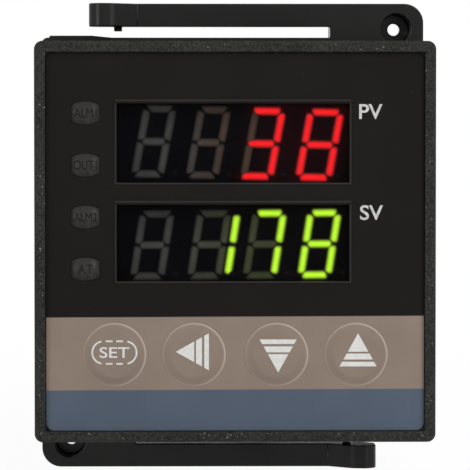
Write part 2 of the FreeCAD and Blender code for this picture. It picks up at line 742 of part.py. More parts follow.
def key_cap(name):
    """An embossed key: a flat crown on a sloping shoulder, turned about its own axis."""
    body = new_body(f"{name}_key", x=KEY_X[name], z=KEY_Z)

    def half_section(profile):
        profile.outline([
            ("0", "key_front"),
            ("0", "key_back"),
            ("key_radius", "key_back"),
            ("key_radius", "overlay_front"),
            ("key_radius - key_slope", "key_front"),
        ])

    sketch = new_sketch(body, f"{name}_key_section", "XY_Plane", "0", half_section)
    turned = body.newObject("PartDesign::Revolution", f"{name}_key_turned")
    turned.Profile = sketch
    turned.ReferenceAxis = (sketch, ["V_Axis"])
    turned.Angle = 360
    body.Tip = turned
    return body


def key_plunger(name):
    """The switch's plunger, from the back of the key into the switch."""
    node = rod(f"{name}_key_plunger", (KEY_X[name], KEY_Z), "plunger_radius",
               "key_back", "plunger_back")
    node.Label = f"{name}_key_plunger"
    return node


def key_switch(name):
    """A tactile switch with a socket for its plunger, under a thin lid."""
    body = new_body(f"{name}_key_switch", x=KEY_X[name], z=KEY_Z)
    lid_back = "switch_front + switch_lid"
    pad(body, f"{name}_switch_base", "XZ_Plane", lid_back, "display_back",
        lambda profile: profile.centred_box("0", "0", "switch_side", "switch_side"))
    pad(body, f"{name}_switch_lid", "XZ_Plane", "switch_front", lid_back,
        lambda profile: profile.centred_box("0", "0", "switch_side - 2 * switch_lid",
                                            "switch_side - 2 * switch_lid"))
    pocket(body, f"{name}_switch_socket", "XZ_Plane", "switch_front", "socket_floor",
           lambda profile: profile.centred_box("0", "0", "2 * (plunger_radius + plunger_gap)",
                                               "2 * (plunger_radius + plunger_gap)"))
    return body


def light_guide(name):
    """A moulded guide: barrel face in the overlay, lip behind the plate, stem to its LED."""
    body = new_body(f"{name}_light_guide", x="lamp_x", z=LAMP_Z[name])
    lip_back = "plate_back + guide_lip_depth"
    pad(body, f"{name}_face", "XZ_Plane", "overlay_front", "plate_back",
        lambda profile: profile.barrel("0", "0", "lamp_width - 2 * guide_gap",
                                       "lamp_side - 2 * guide_gap"))
    pad(body, f"{name}_lip", "XZ_Plane", "plate_back", lip_back,
        lambda profile: profile.centred_box("0", "0", "lamp_width + 2 * guide_lip",
                                            "lamp_side + 2 * lamp_bulge + 2 * guide_lip"))
    pad(body, f"{name}_stem", "XZ_Plane", lip_back, "guide_back",
        lambda profile: profile.centred_box("0", "0", "guide_stem", "guide_stem"))
    return body


def indicator_leds():
    """Four surface-mounted LEDs, one behind each light guide."""
    body = new_body("indicator_leds")
    lamp = pad(body, "led", "XZ_Plane", "led_front", "display_back",
               lambda profile: profile.centred_box("lamp_x", LAMP_Z["autotune"],
                                                   "led_side", "led_side"))
    in_a_row(body, "leds", [lamp], "Z_Axis", "lamp_pitch", str(len(LAMP_NAMES)))
    return body


# ------------------------------------------------------------------------------------------
# Seven-segment displays
# ------------------------------------------------------------------------------------------

def bar_outline(start, stop):
    """The six corners of one bar between two corners of a figure."""
    half = value("segment_width") / 2
    along = (stop - start).normalize()
    across = V(-along.y, along.x, 0)
    reach = (stop - start).Length / 2 - value("segment_gap") * math.sqrt(2)
    corners = [(reach - half, half), (reach, 0), (reach - half, -half)]
    corners += [(-u, -v) for u, v in corners]
    return [(start + stop) * 0.5 + along * u + across * v for u, v in corners]


def dot_outline(middle):
    """The six corners of a decimal point."""
    turns = [math.radians(60 * i) for i in range(6)]
    return [middle + V(math.cos(turn), math.sin(turn), 0) * value("dot_radius") for turn in turns]


def figure_bars(name, lit):
    """The bars of a display's four figures that are lit, or those that aren't."""
    height = value(f"{ROWS[name]}_digit_height")
    pitch = value(f"{ROWS[name]}_digit_pitch")
    front, depth = value("display_front"), value("segment_depth")
    lean = math.tan(math.radians(value("digit_slant")))
    half_width = (value("digit_width") - value("segment_width")) / 2
    half_height = (height - value("segment_width")) / 2
    grid = {
        "left_top": V(-half_width, half_height, 0), "right_top": V(half_width, half_height, 0),
        "left": V(-half_width, 0, 0), "right": V(half_width, 0, 0),
        "left_low": V(-half_width, -half_height, 0), "right_low": V(half_width, -half_height, 0),
    }
    ways = {
        "a": ("left_top", "right_top"), "b": ("right", "right_top"), "c": ("right_low", "right"),
        "d": ("left_low", "right_low"), "e": ("left_low", "left"), "f": ("left", "left_top"),
        "g": ("left", "right"),
    }
    middle_z = value(f"{WINDOW_Z[name]} - display_drop")
    figures = READINGS[name]
    solids = []
    for i, figure in enumerate(figures):
        middle_x = value("digit_last_x") - (len(figures) - 1 - i) * pitch
        outlines = [bar_outline(grid[start], grid[stop]) for bar, (start, stop) in ways.items()
                    if (bar in LIT_BARS[figure]) == lit]
        if not lit:
            middle = V(half_width + value("dot_shift"), value("dot_radius") - height / 2, 0)
            outlines.append(dot_outline(middle))
        for outline in outlines:
            corners = [V(middle_x + p.x + lean * p.y, front, middle_z + p.y) for p in outline]
            face = Part.Face(Part.makePolygon(corners + corners[:1]))
            solids.append(face.extrude(V(0, depth, 0)))
    return solids


def display_figures(name, lit):
    """One node of a display's bars, as separate solids."""
    node = f"{name}_{'lit' if lit else 'unlit'}_segments"
    feature = doc.addObject("Part::Feature", node)
    feature.Label = node
    feature.Shape = Part.makeCompound(figure_bars(name, lit))
    return feature


def display_housing(name):
    """A display's housing with the tray that its bars stand in."""
    body = new_body(f"{name}_display", x="display_shift", z=f"{WINDOW_Z[name]} - display_drop")
    pad(body, f"{name}_housing", "XZ_Plane", "display_front", "display_back",
        lambda profile: profile.centred_box("0", "0", "display_width", "display_height"))
    pocket(body, f"{name}_tray", "XZ_Plane", "display_front", "display_front + segment_depth",
           lambda profile: profile.centred_box("0", "0", "display_width - 2 * display_rim",
                                               "display_height - 2 * display_rim"))
    return body


# ------------------------------------------------------------------------------------------
# Boards and what stands on them
# ------------------------------------------------------------------------------------------

def display_board():
    """The board across the front of the case."""
    body = new_body("display_board")
    pad(body, "display_board_blank", "XZ_Plane", "display_back", "board_back",
        lambda profile: profile.rounded_square("case_inner - 2 * board_gap", "case_corner"))
    return body


def side_board(node, side):
    """An upright board, on the left for power or on the right for control."""
    across = ("side_board_x", "side_board_outer")
    if side:
        across = ("0 - side_board_outer", "0 - side_board_x")
    board = block(node, across, ("side_board_front", "side_board_back"),
                  ("0 - side_board_top", "side_board_top"))
    board.Label = node
    return board


def board_headers():
    """Two header strips in the corners between the display board and the upright ones."""
    strips = []
    for name, across in (
        ("right", ("side_board_x - header_side", "side_board_x")),
        ("left", ("0 - side_board_x", "0 - side_board_x + header_side")),
    ):
        strips.append(block(f"{name}_header", across, ("board_back", "board_back + header_side"),
                            ("0 - header_length / 2", "header_length / 2")))
    return grouped("board_headers", strips)


def board_part(node, board, y, z, length, width, height, chamfer):
    """A moulded part standing on an upright board, its free edges chamfered."""
    body = new_body(node, y=y, z=z)
    low, high = f"side_board_x - {height}", "side_board_x"
    if board == "power":
        low, high = "0 - side_board_x", f"0 - side_board_x + {height}"
    pad(body, f"{node}_case", "YZ_Plane", low, high,
        lambda profile: profile.centred_box("0", "0", length, width))
    top = high if board == "power" else low
    ease_edges("Chamfer", body, f"{node}_edges", lies_at("X", top), chamfer)
    return body


def transformer():
    """A switching transformer: base, core and the winding that bulges between its legs."""
    board, y, z = "0 - side_board_x", "transformer_y", "transformer_z"
    half = "transformer_side / 2"

    def layer(name, x, along, up):
        return block(name, x, (f"{y} - {along}", f"{y} + {along}"), (f"{z} - {up}", f"{z} + {up}"))

    low = f"{board} + transformer_step"
    top = f"{board} + transformer_height"
    base = layer("transformer_base", (board, low), half, half)
    core = layer("transformer_core", (low, top), half, "transformer_side / 4")
    winding_top = f"{top} - transformer_step"
    winding = layer("transformer_winding", (low, winding_top), "winding_side / 2",
                    f"{half} - winding_lip")
    return fused("transformer", [base, core, winding])


def smoothing_capacitor():
    """An electrolytic can standing on the power board."""
    body = new_body("electrolytic_capacitor", y="capacitor_y", z="capacitor_z")
    top = "0 - side_board_x + capacitor_height"
    pad(body, "capacitor_can", "YZ_Plane", "0 - side_board_x", top,
        lambda profile: profile.circle("0", "0", "capacitor_radius"))
    ease_edges("Chamfer", body, "capacitor_rim", lies_at("X", top), "capacitor_chamfer")
    return body


def varistor():
    """A coated disc on two leads."""
    middle_x = "0 - side_board_x + varistor_lead + varistor_radius"
    middle_z = "0 - varistor_z"
    disc = rod("varistor_disc", (middle_x, middle_z), "varistor_radius",
               "varistor_y - varistor_thickness / 2", "varistor_y + varistor_thickness / 2")
    leads = []
    for name, sign in (("upper", "+"), ("lower", "-")):
        lead_z = f"{middle_z} {sign} varistor_radius / 2"
        leads.append(block(
            f"varistor_{name}_lead",
            ("0 - side_board_x", middle_x),
            ("varistor_y - varistor_lead_side / 2", "varistor_y + varistor_lead_side / 2"),
            (f"{lead_z} - varistor_lead_side / 2", f"{lead_z} + varistor_lead_side / 2"),
        ))
    return fused("varistor", [disc] + leads)


# ------------------------------------------------------------------------------------------
# Case and terminal block
# ------------------------------------------------------------------------------------------

def case_shell():
    """The square tube that holds the boards, with vents, ratchet racks and lug windows."""
    body = new_body("case_shell")
    outer, inner = "case_side / 2", "case_inner / 2"

    def ribs(profile):
        faces = {
            "side_board_x - rib_gap - rib_thickness": "side_board_x - rib_gap",
            "side_board_outer + rib_gap": "side_board_outer + rib_gap + rib_thickness",
        }
        for near_face, far_face in faces.items():
            for side in SIDES:
                for up in SIDES:
                    profile.outline([
                        (f"{side}({near_face})", f"{up}({inner})"),
                        (f"{side}({far_face})", f"{up}({inner})"),
                        (f"{side}({far_face})", f"{up}({inner} - rib_height)"),
                        (f"{side}({near_face})", f"{up}({inner} - rib_height)"),
                    ])

    def notch(profile):
        for side in SIDES:
            profile.outline([
                (f"{side}({outer})", "rack_start"),
                (f"{side}({outer} - rack_depth)", "rack_start + notch_length"),
                (f"{side}({outer})", "rack_start + notch_length"),
            ])

    def slots(profile):
        for side in SIDES:
            ends = (f"{side}(vent_bridge / 2)", f"{side}(vent_bridge / 2 + vent_length)")
            profile.outline([
                (ends[0], "vent_start"), (ends[1], "vent_start"),
                (ends[1], "vent_start + vent_width"), (ends[0], "vent_start + vent_width"),
            ])

    pad(body, "case_outside", "XZ_Plane", "case_front", "case_back",
        lambda profile: profile.rounded_square("case_side", "case_corner"))
    pocket(body, "case_inside", "XZ_Plane", "case_front", "case_back",
           lambda profile: profile.rounded_square("case_inner", "case_inner_corner"))
    pad(body, "board_ribs", "XZ_Plane", "side_board_front", "side_board_back", ribs)
    pocket(body, "lug_windows", "YZ_Plane", f"0 - {outer}", outer,
           lambda profile: profile.box(
               "0 - snap_y - snap_gap", "0 - snap_y + snap_depth + snap_gap",
               "0 - snap_width / 2 - snap_gap", "snap_width / 2 + snap_gap"))
    vents = pocket(body, "vent_slots", "XY_Plane", f"0 - {outer}", outer, slots)
    in_a_row(body, "vents", [vents], "Y_Axis", "vent_pitch", "vent_count")
    notches = pocket(body, "rack_notch", "XY_Plane", "0 - rack_width / 2", "rack_width / 2", notch)
    in_a_row(body, "racks", [notches], "Y_Axis", "rack_pitch", "rack_count")
    return body


def terminal_block():
    """The moulded rear block: two columns of open bays with walls between, and a plug."""
    body = new_body("terminal_block")

    def bays(profile):
        for side in SIDES:
            inner, outer = f"{side}(bay_inner)", f"{side}(case_side / 2)"
            low, high = "bay_first - bay_width / 2", "bay_first + bay_width / 2"
            profile.outline([(inner, low), (outer, low), (outer, high), (inner, high)])

    def screw_wells(profile):
        for side in SIDES:
            profile.centred_box(f"{side}screw_x", "bay_first", "screw_well", "screw_well")

    def blade_slots(profile):
        for side in SIDES:
            inner, outer = f"{side}(blade_inner - blade_gap)", f"{side}(blade_outer + blade_gap)"
            low = "bay_first - blade_width / 2 - blade_gap"
            high = "bay_first + blade_width / 2 + blade_gap"
            profile.outline([(inner, low), (outer, low), (outer, high), (inner, high)])

    pad(body, "block_outside", "XZ_Plane", "case_back", "block_back",
        lambda profile: profile.rounded_square("case_side", "case_corner"))
    pad(body, "block_plug", "XZ_Plane", "plug_front", "case_back",
        lambda profile: profile.rounded_square("plug_side", "case_inner_corner"))
    cuts = [
        pocket(body, "bay", "XZ_Plane", "bay_floor", "block_back", bays),
        pocket(body, "screw_well", "XZ_Plane", "screw_end - screw_gap", "bay_floor",
               screw_wells),
        pocket(body, "blade_slot", "XZ_Plane", "plug_front", "bay_floor", blade_slots),
    ]
    in_a_row(body, "bays", cuts, "Z_Axis", "bay_pitch", "bay_count")
    return body


def terminal_tabs():
    """A plate in each bay with a blade that runs down to its board."""
    body = new_body("terminal_tabs")

    def plates(profile):
        for side in SIDES:
            inner, outer = f"{side}tab_inner", f"{side}tab_outer"
            low = "bay_first - bay_width / 2 + tab_margin"
            high = "bay_first + bay_width / 2 - tab_margin"
            profile.outline([(inner, low), (outer, low), (outer, high), (inner, high)])
            profile.centred_box(f"{side}screw_x", "bay_first", "screw_well", "screw_well")

    def blades(profile):
        for side in SIDES:
            inner, outer = f"{side}blade_inner", f"{side}blade_outer"
            low, high = "bay_first - blade_width / 2", "bay_first + blade_width / 2"
            profile.outline([(inner, low), (outer, low), (outer, high), (inner, high)])

    parts = [
        pad(body, "tab_plate", "XZ_Plane", "bay_floor", "tab_top", plates),
        pad(body, "tab_blade", "XZ_Plane", "blade_front", "bay_floor", blades),
    ]
    in_a_row(body, "tabs", parts, "Z_Axis", "bay_pitch", "bay_count")
    return body


def terminal_washers():
    """A square pressure plate under each screw."""
    body = new_body("terminal_washers")

    def plates(profile):
        for side in SIDES:
            profile.centred_box(f"{side}screw_x", "bay_first", "washer_side", "washer_side")
            profile.centred_box(f"{side}screw_x", "bay_first", "screw_well", "screw_well")

    plate = pad(body, "washer", "XZ_Plane", "tab_top", "washer_top", plates)
    in_a_row(body, "washers", [plate], "Z_Axis", "bay_pitch", "bay_count")
    return body


def terminal_screws():
    """The slotted screws that clamp the wires."""
    body = new_body("terminal_screws")

    def heads(profile):
        for side in SIDES:
            profile.circle(f"{side}screw_x", "bay_first", "screw_head_radius")

    def shanks(profile):
        for side in SIDES:
            profile.centred_box(f"{side}screw_x", "bay_first", "2 * screw_radius",
                                "2 * screw_radius")

    def slots(profile):
        for side in SIDES:
            profile.centred_box(f"{side}screw_x", "bay_first",
                                "2 * (screw_head_radius - slot_end)", "slot_width")

    parts = [
        pad(body, "screw_head", "XZ_Plane", "washer_top", "screw_top", heads),
        pad(body, "screw_shank", "XZ_Plane", "screw_end", "washer_top", shanks),
        pocket(body, "screw_slot", "XZ_Plane", "screw_top - slot_depth", "screw_top", slots),
    ]
    in_a_row(body, "screws", parts, "Z_Axis", "bay_pitch", "bay_count")
    return body


# ------------------------------------------------------------------------------------------
# Mounting bracket
# ------------------------------------------------------------------------------------------

def mounting_bracket():
    """One moulding: a ring round the case, two sprung arms that press the panel, two ears with
    screw holes, and a ratchet tongue on each side. It is the same after half a turn."""
    body = new_body("mounting_bracket", y="bracket_y")

    def ring(profile):
        profile.box("0 - ring_x", "ring_x", "0 - ring_z", "ring_z")
        profile.rounded_square("2 * ring_inner", "case_corner + bracket_gap")

    def foot(profile):
        profile.outline([
            ("0 - foot_ramp", "arm_thickness"),
            ("foot_crown - arm_tip", "arm_thickness"),
            ("0 - arm_tip", "arm_thickness - foot_tip_drop"),
            ("0 - arm_tip", "foot_tip_drop - foot_height"),
            ("foot_crown - arm_tip", "0 - foot_height"),
            ("foot_knee - arm_tip", "foot_knee_drop - foot_height"),
            ("0 - foot_ramp", "0"),
        ])

    def stop(profile):
        profile.outline([
            ("stop_flat + stop_slope - ring_x", "ring_z"),
            ("stop_flat - ring_x", "ring_z + stop_rise"),
            ("0 - stop_end", "ring_z + stop_rise"),
            ("0 - stop_end", "ring_z"),
        ])

    def ear_circle(radius):
        return lambda profile: profile.circle("ear_hole_x", "ear_hole_z", radius)

    def tongues(profile):
        tip = "pawl_inner - pawl_tooth"
        for side in SIDES:
            profile.outline([(f"{side}({x})", y) for x, y in (
                ("pawl_inner", "bracket_depth"),
                ("pawl_outer", "bracket_depth"),
                ("pawl_outer", "pawl_back"),
                (tip, "pawl_back"),
                ("pawl_inner", "pawl_back - notch_length"),
                ("pawl_inner", "pawl_back - rack_pitch"),
                (tip, "pawl_back - rack_pitch"),
                ("pawl_inner", "pawl_back - rack_pitch - notch_length"),
            )])

    pad(body, "ring", "XZ_Plane", "0", "bracket_depth", ring)
    parts = [
        pad(body, "ear", "XZ_Plane", "0", "bracket_depth",
            lambda profile: profile.box("arm_root", "ring_x", "ring_inner", "arm_high")),
        pad(body, "arm", "XZ_Plane", "0", "arm_thickness",
            lambda profile: profile.box("0 - foot_ramp", "arm_root", "arm_low", "arm_high")),
        pad(body, "foot", "XY_Plane", "arm_low", "arm_high", foot),
        pad(body, "nib", "XZ_Plane", "0", "arm_thickness",
            lambda profile: profile.box("0 - nib_x", "nib_width - nib_x",
                                        "arm_low - nib_height", "arm_low")),
        pad(body, "stop", "XZ_Plane", "0", "bracket_depth", stop),
        pocket(body, "ear_hole", "XZ_Plane", "0", "bracket_depth",
               ear_circle("ear_hole_radius")),
        pocket(body, "ear_recess", "XZ_Plane", "0", "ear_recess_depth",
               ear_circle("ear_recess_radius")),
    ]
    turned_about(body, "both_ends", parts)
    half_width = "rack_width / 2 - pawl_margin"
    pad(body, "ratchet_tongues", "XY_Plane", f"0 - ({half_width})", half_width, tongues)
    ease_edges("Fillet", body, "ear_corners", runs_through("ring_x", "arm_high"), "ear_corner")
    ease_edges("Fillet", body, "ring_corners", runs_through("ring_x", "ring_z"), "ring_corner")
    return body


# ------------------------------------------------------------------------------------------
# The assembly
# ------------------------------------------------------------------------------------------

nodes = [front_bezel(), front_overlay()]
for display in WINDOW_Z:
    nodes += [
        window_pane(display),
        display_housing(display),
        display_figures(display, True),
        display_figures(display, False),
    ]
nodes += [light_guide(lamp) for lamp in LAMP_NAMES]
nodes.append(indicator_leds())
for key in KEY_X:
    nodes += [key_cap(key), key_plunger(key), key_switch(key)]
nodes += [
    display_board(),
    side_board("power_board", "left"),
    side_board("control_board", ""),
    board_headers(),
    transformer(),
    smoothing_capacitor(),
    board_part("film_capacitor", "power", "suppressor_y", "0 - suppressor_z",
               "suppressor_length", "suppressor_width", "suppressor_height",
               "suppressor_chamfer"),
    varistor(),
    board_part("bridge_rectifier", "power", "bridge_y", "bridge_z", "bridge_side",
               "bridge_side", "bridge_height", "bridge_chamfer"),
    board_part("output_relay", "control", "relay_y", "relay_z", "relay_length",
               "relay_width", "relay_height", "relay_chamfer"),
    board_part("alarm_relay", "control", "relay_y", "0 - relay_z", "relay_length",
               "relay_width", "relay_height", "relay_chamfer"),
    board_part("microcontroller", "control", "chip_y", "0", "chip_side", "chip_side",
               "chip_height", "chip_chamfer"),
    board_part("optocoupler", "control", "coupler_y", "0 - coupler_z", "coupler_length",
               "coupler_width", "coupler_height", "coupler_chamfer"),
    case_shell(),
    terminal_block(),
    terminal_tabs(),
    terminal_washers(),
    terminal_screws(),
    mounting_bracket(),
]
doc.recompute()

for thing in doc.Objects:
    if {"Invalid", "Error"} & set(thing.State):
        raise RuntimeError(f"{thing.Label} failed: {thing.State}")
    base = getattr(thing, "BaseFeature", None)
    if thing.TypeId == "PartDesign::Pocket" and thing.Shape.Volume >= base.Shape.Volume:
        raise RuntimeError(f"{thing.Label} cuts nothing")
    if thing.TypeId == "PartDesign::Pad" and base and thing.Shape.Volume <= base.Shape.Volume:
        raise RuntimeError(f"{thing.Label} adds nothing")
for node in nodes:
    if node.Shape.isNull() or not node.Shape.isValid():
        raise RuntimeError(f"{node.Label} has no valid shape")

os.makedirs("parts", exist_ok=True)
for node in nodes:
    node.Shape.exportStep(f"parts/{node.Label}.step")
    print(f"{node.Label}: {len(node.Shape.Solids)} solids, {node.Shape.Volume:.1f} mm3")
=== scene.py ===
"""Dress a panel-mounted temperature controller for its pictures.

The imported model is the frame: every place comes from its nodes' boxes. Sizes are written in
millimetres and turned to metres where a mesh is made. Facing the display, +X is to the right,
+Y goes into the panel and +Z is up.
"""

import logging
import math
from dataclasses import dataclass, field
from enum import Enum

import bmesh
import bpy
import numpy as np
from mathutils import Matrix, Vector


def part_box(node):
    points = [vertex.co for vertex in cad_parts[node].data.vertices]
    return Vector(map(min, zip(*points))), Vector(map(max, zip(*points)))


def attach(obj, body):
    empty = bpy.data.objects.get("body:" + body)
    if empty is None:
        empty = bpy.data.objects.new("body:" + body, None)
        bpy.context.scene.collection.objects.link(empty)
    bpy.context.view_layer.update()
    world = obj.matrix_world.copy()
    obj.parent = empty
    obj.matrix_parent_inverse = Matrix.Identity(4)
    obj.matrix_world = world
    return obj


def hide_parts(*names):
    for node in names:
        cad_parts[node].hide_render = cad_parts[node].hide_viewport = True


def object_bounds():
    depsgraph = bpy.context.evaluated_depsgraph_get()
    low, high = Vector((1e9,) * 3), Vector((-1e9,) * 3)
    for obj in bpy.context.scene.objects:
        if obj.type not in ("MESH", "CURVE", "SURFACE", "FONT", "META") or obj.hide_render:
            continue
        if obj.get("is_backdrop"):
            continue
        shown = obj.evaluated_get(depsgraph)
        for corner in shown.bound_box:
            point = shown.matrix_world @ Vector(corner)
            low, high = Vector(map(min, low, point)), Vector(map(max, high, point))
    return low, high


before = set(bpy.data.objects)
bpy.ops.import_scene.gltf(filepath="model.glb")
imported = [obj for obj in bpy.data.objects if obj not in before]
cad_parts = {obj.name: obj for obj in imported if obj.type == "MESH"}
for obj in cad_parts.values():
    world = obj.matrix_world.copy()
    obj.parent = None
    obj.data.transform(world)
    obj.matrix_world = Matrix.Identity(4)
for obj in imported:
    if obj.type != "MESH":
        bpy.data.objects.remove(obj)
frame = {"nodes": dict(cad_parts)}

LOG = logging.getLogger("controller")
MM = 0.001
# On a copy of a node, points nearer than this are one, and edges sharper than these many
# degrees are rounded and shaded crisp.
MERGE_MM = 0.002
ROUND_FROM = 28.0
CRISP_FROM = 35.0
INSTRUMENT = "instrument"
BRACKET = "bracket"
EASED = {"interpolation_type": "SMOOTHSTEP"}
RGBA = {"data_type": "RGBA"}
Array = np.ndarray
Colour = tuple[float, float, float, float]
Tree = bpy.types.NodeTree
Node = bpy.types.Node
Feeds = dict[str | int, object]


# ------------------------------------------------------------------------------------------
# Colours, nodes and patterns
# ------------------------------------------------------------------------------------------

def linear(code: str) -> Colour:
    """Turn a colour to linear light.

    Args:
        code: an sRGB hex colour, such as "#8b7b70".

    Returns:
        Red, green, blue and an alpha of 1, each channel c as c / 12.92 below 0.04045 and as
        ((c + 0.055) / 1.055) to the power of 2.4 above it.
    """
    channels = np.array([int(code[i:i + 2], 16) for i in (1, 3, 5)]) / 255
    low, high = channels / 12.92, ((channels + 0.055) / 1.055) ** 2.4
    red, green, blue = np.where(channels <= 0.04045, low, high)
    return float(red), float(green), float(blue), 1.0


def add_node(tree: Tree, kind: str, inputs: Feeds | None = None, **settings: object) -> Node:
    """Add a node with its settings and links.

    Args:
        tree: the node tree.
        kind: the node's type without its "ShaderNode" prefix.
        inputs: for each input socket, a value, an output socket that feeds it, or a node whose
            first output in use feeds it.
        settings: the node's own settings.

    Returns:
        The new node.
    """
    node = tree.nodes.new("ShaderNode" + kind)
    for key, setting in settings.items():
        setattr(node, key, setting)
    for key, source in (inputs or {}).items():
        if isinstance(source, bpy.types.Node):
            source = next(socket for socket in source.outputs if socket.enabled)
        if isinstance(source, bpy.types.NodeSocket):
            tree.links.new(source, node.inputs[key])
        else:
            node.inputs[key].default_value = source
    return node


def clouds(
    tree: Tree, size_mm: float, detail: float, start: float, stop: float,
    low: float = 0.0, high: float = 1.0,
) -> Node:
    """A pattern of clouds at a real size: noise on the object's own coordinates, which lies
    mostly between 0.3 and 0.7, eased from one value to another.

    Args:
        tree: the node tree.
        size_mm: size of a cloud.
        detail: how many finer layers it has.
        start: the noise at which low ends.
        stop: the noise at which high begins.
        low: the first value.
        high: the last value.

    Returns:
        The pattern's last node.
    """
    place = add_node(tree, "TexCoord").outputs["Object"]
    fine = {"Vector": place, "Scale": 1 / (size_mm * MM), "Detail": detail}
    cloud = add_node(tree, "TexNoise", fine)
    return add_node(tree, "MapRange", {0: cloud, 1: start, 2: stop, 3: low, 4: high}, **EASED)


def specks(tree: Tree, size_mm: float, start: float) -> Node:
    """Scattered specks: the peaks of a fine noise, left out where a slower noise is low.

    Args:
        tree: the node tree.
        size_mm: spacing of the fine noise's patches.
        start: how high a peak must be to show, below 1.

    Returns:
        The pattern's last node, 1 on a speck and 0 off it.
    """
    peaks = clouds(tree, size_mm, 0.0, start, start + 0.04)
    here = clouds(tree, 9 * size_mm, 1.0, 0.48, 0.56)
    return add_node(tree, "Math", {0: peaks, 1: here}, operation="MULTIPLY")


def grain(tree: Tree, size_mm: float, detail: float, depth_mm: float) -> Node:
    """A moulded or embossed grain at a real size: noise whose height tilts the normal.

    Args:
        tree: the node tree.
        size_mm: size of a grain.
        detail: how many finer layers it has.
        depth_mm: the depth that the whole of the noise stands for.

    Returns:
        The pattern's last node.
    """
    place = add_node(tree, "TexCoord").outputs["Object"]
    fine = {"Vector": place, "Scale": 1 / (size_mm * MM), "Detail": detail}
    height = add_node(tree, "TexNoise", fine)
    return add_node(tree, "Bump", {"Height": height, "Distance": depth_mm * MM, "Strength": 1.0})


def mesh_shade(tree: Tree) -> bpy.types.NodeSocket:
    """The shade from 0 to 1 that a piece's mesh carries."""
    return add_node(tree, "Attribute", attribute_name="shade").outputs["Fac"]


# ------------------------------------------------------------------------------------------
# Finishes
# ------------------------------------------------------------------------------------------

@dataclass(frozen=True)
class Finish:
    """What every finish has: its name, its slot in the record and how its shader is fed."""

    name: str
    slot: str

    def material(self) -> bpy.types.Material:
        """Make the material once, and give the same one from then on.

        Returns:
            The material.
        """
        made = bpy.data.materials.get(self.name)
        if made is None:
            made = bpy.data.materials.new(self.name)
            made.use_nodes = True
            made.node_tree.nodes.clear()
            shader = add_node(made.node_tree, "BsdfPrincipled", self.wire(made.node_tree))
            add_node(made.node_tree, "OutputMaterial", {"Surface": shader})
        return made

    def wire(self, tree: Tree) -> Feeds:
        """Make the patterns and say what feeds the shader. Each finish has its own way.

        Args:
            tree: the node tree.

        Returns:
            For each of the shader's sockets, what feeds it.
        """
        raise NotImplementedError(self.name)


@dataclass(frozen=True)
class MouldedPlastic(Finish):
    """A thermoplastic moulding. Its skin copies the steel of the tool, so the eye sees a fine
    even grain, a sheen that drifts slowly over the face, and rubbed or dusty specks."""

    colour: str = "#2a2a28"
    drift_colour: str = "#242422"
    speck: str = "#6a6a64"
    speck_start: float = 0.9
    speck_mm: float = 0.22
    grain_mm: float = 0.28
    grain_depth_mm: float = 0.006
    mottle: float = 0.08
    drift_mm: float = 7.0
    roughness: float = 0.5
    drift: float = 0.08
    specular: float = 0.12

    def wire(self, tree: Tree) -> Feeds:
        """Colour and sheen from slow noise, specks from peaks of fine noise, grain as relief.

        Args:
            tree: the node tree.

        Returns:
            For each of the shader's sockets, what feeds it.
        """
        slow = clouds(tree, self.drift_mm, 2.0, 0.35, 0.65)
        tones = {0: slow, 6: linear(self.colour), 7: linear(self.drift_colour)}
        fine = clouds(tree, self.grain_mm, 1.0, 0.3, 0.7, 1 - self.mottle, 1 + self.mottle)
        base = add_node(tree, "Mix", tones, **RGBA)
        body = add_node(tree, "HueSaturation", {"Color": base, "Value": fine})
        dust = specks(tree, self.speck_mm, self.speck_start)
        dull, bright = self.roughness + self.drift, self.roughness - self.drift
        return {
            "Base Color": add_node(tree, "Mix", {0: dust, 6: body, 7: linear(self.speck)}, **RGBA),
            "Roughness": clouds(tree, self.drift_mm, 2.0, 0.3, 0.7, bright, dull),
            "Normal": grain(tree, self.grain_mm, 1.0, self.grain_depth_mm),
            "Specular IOR Level": self.specular,
        }


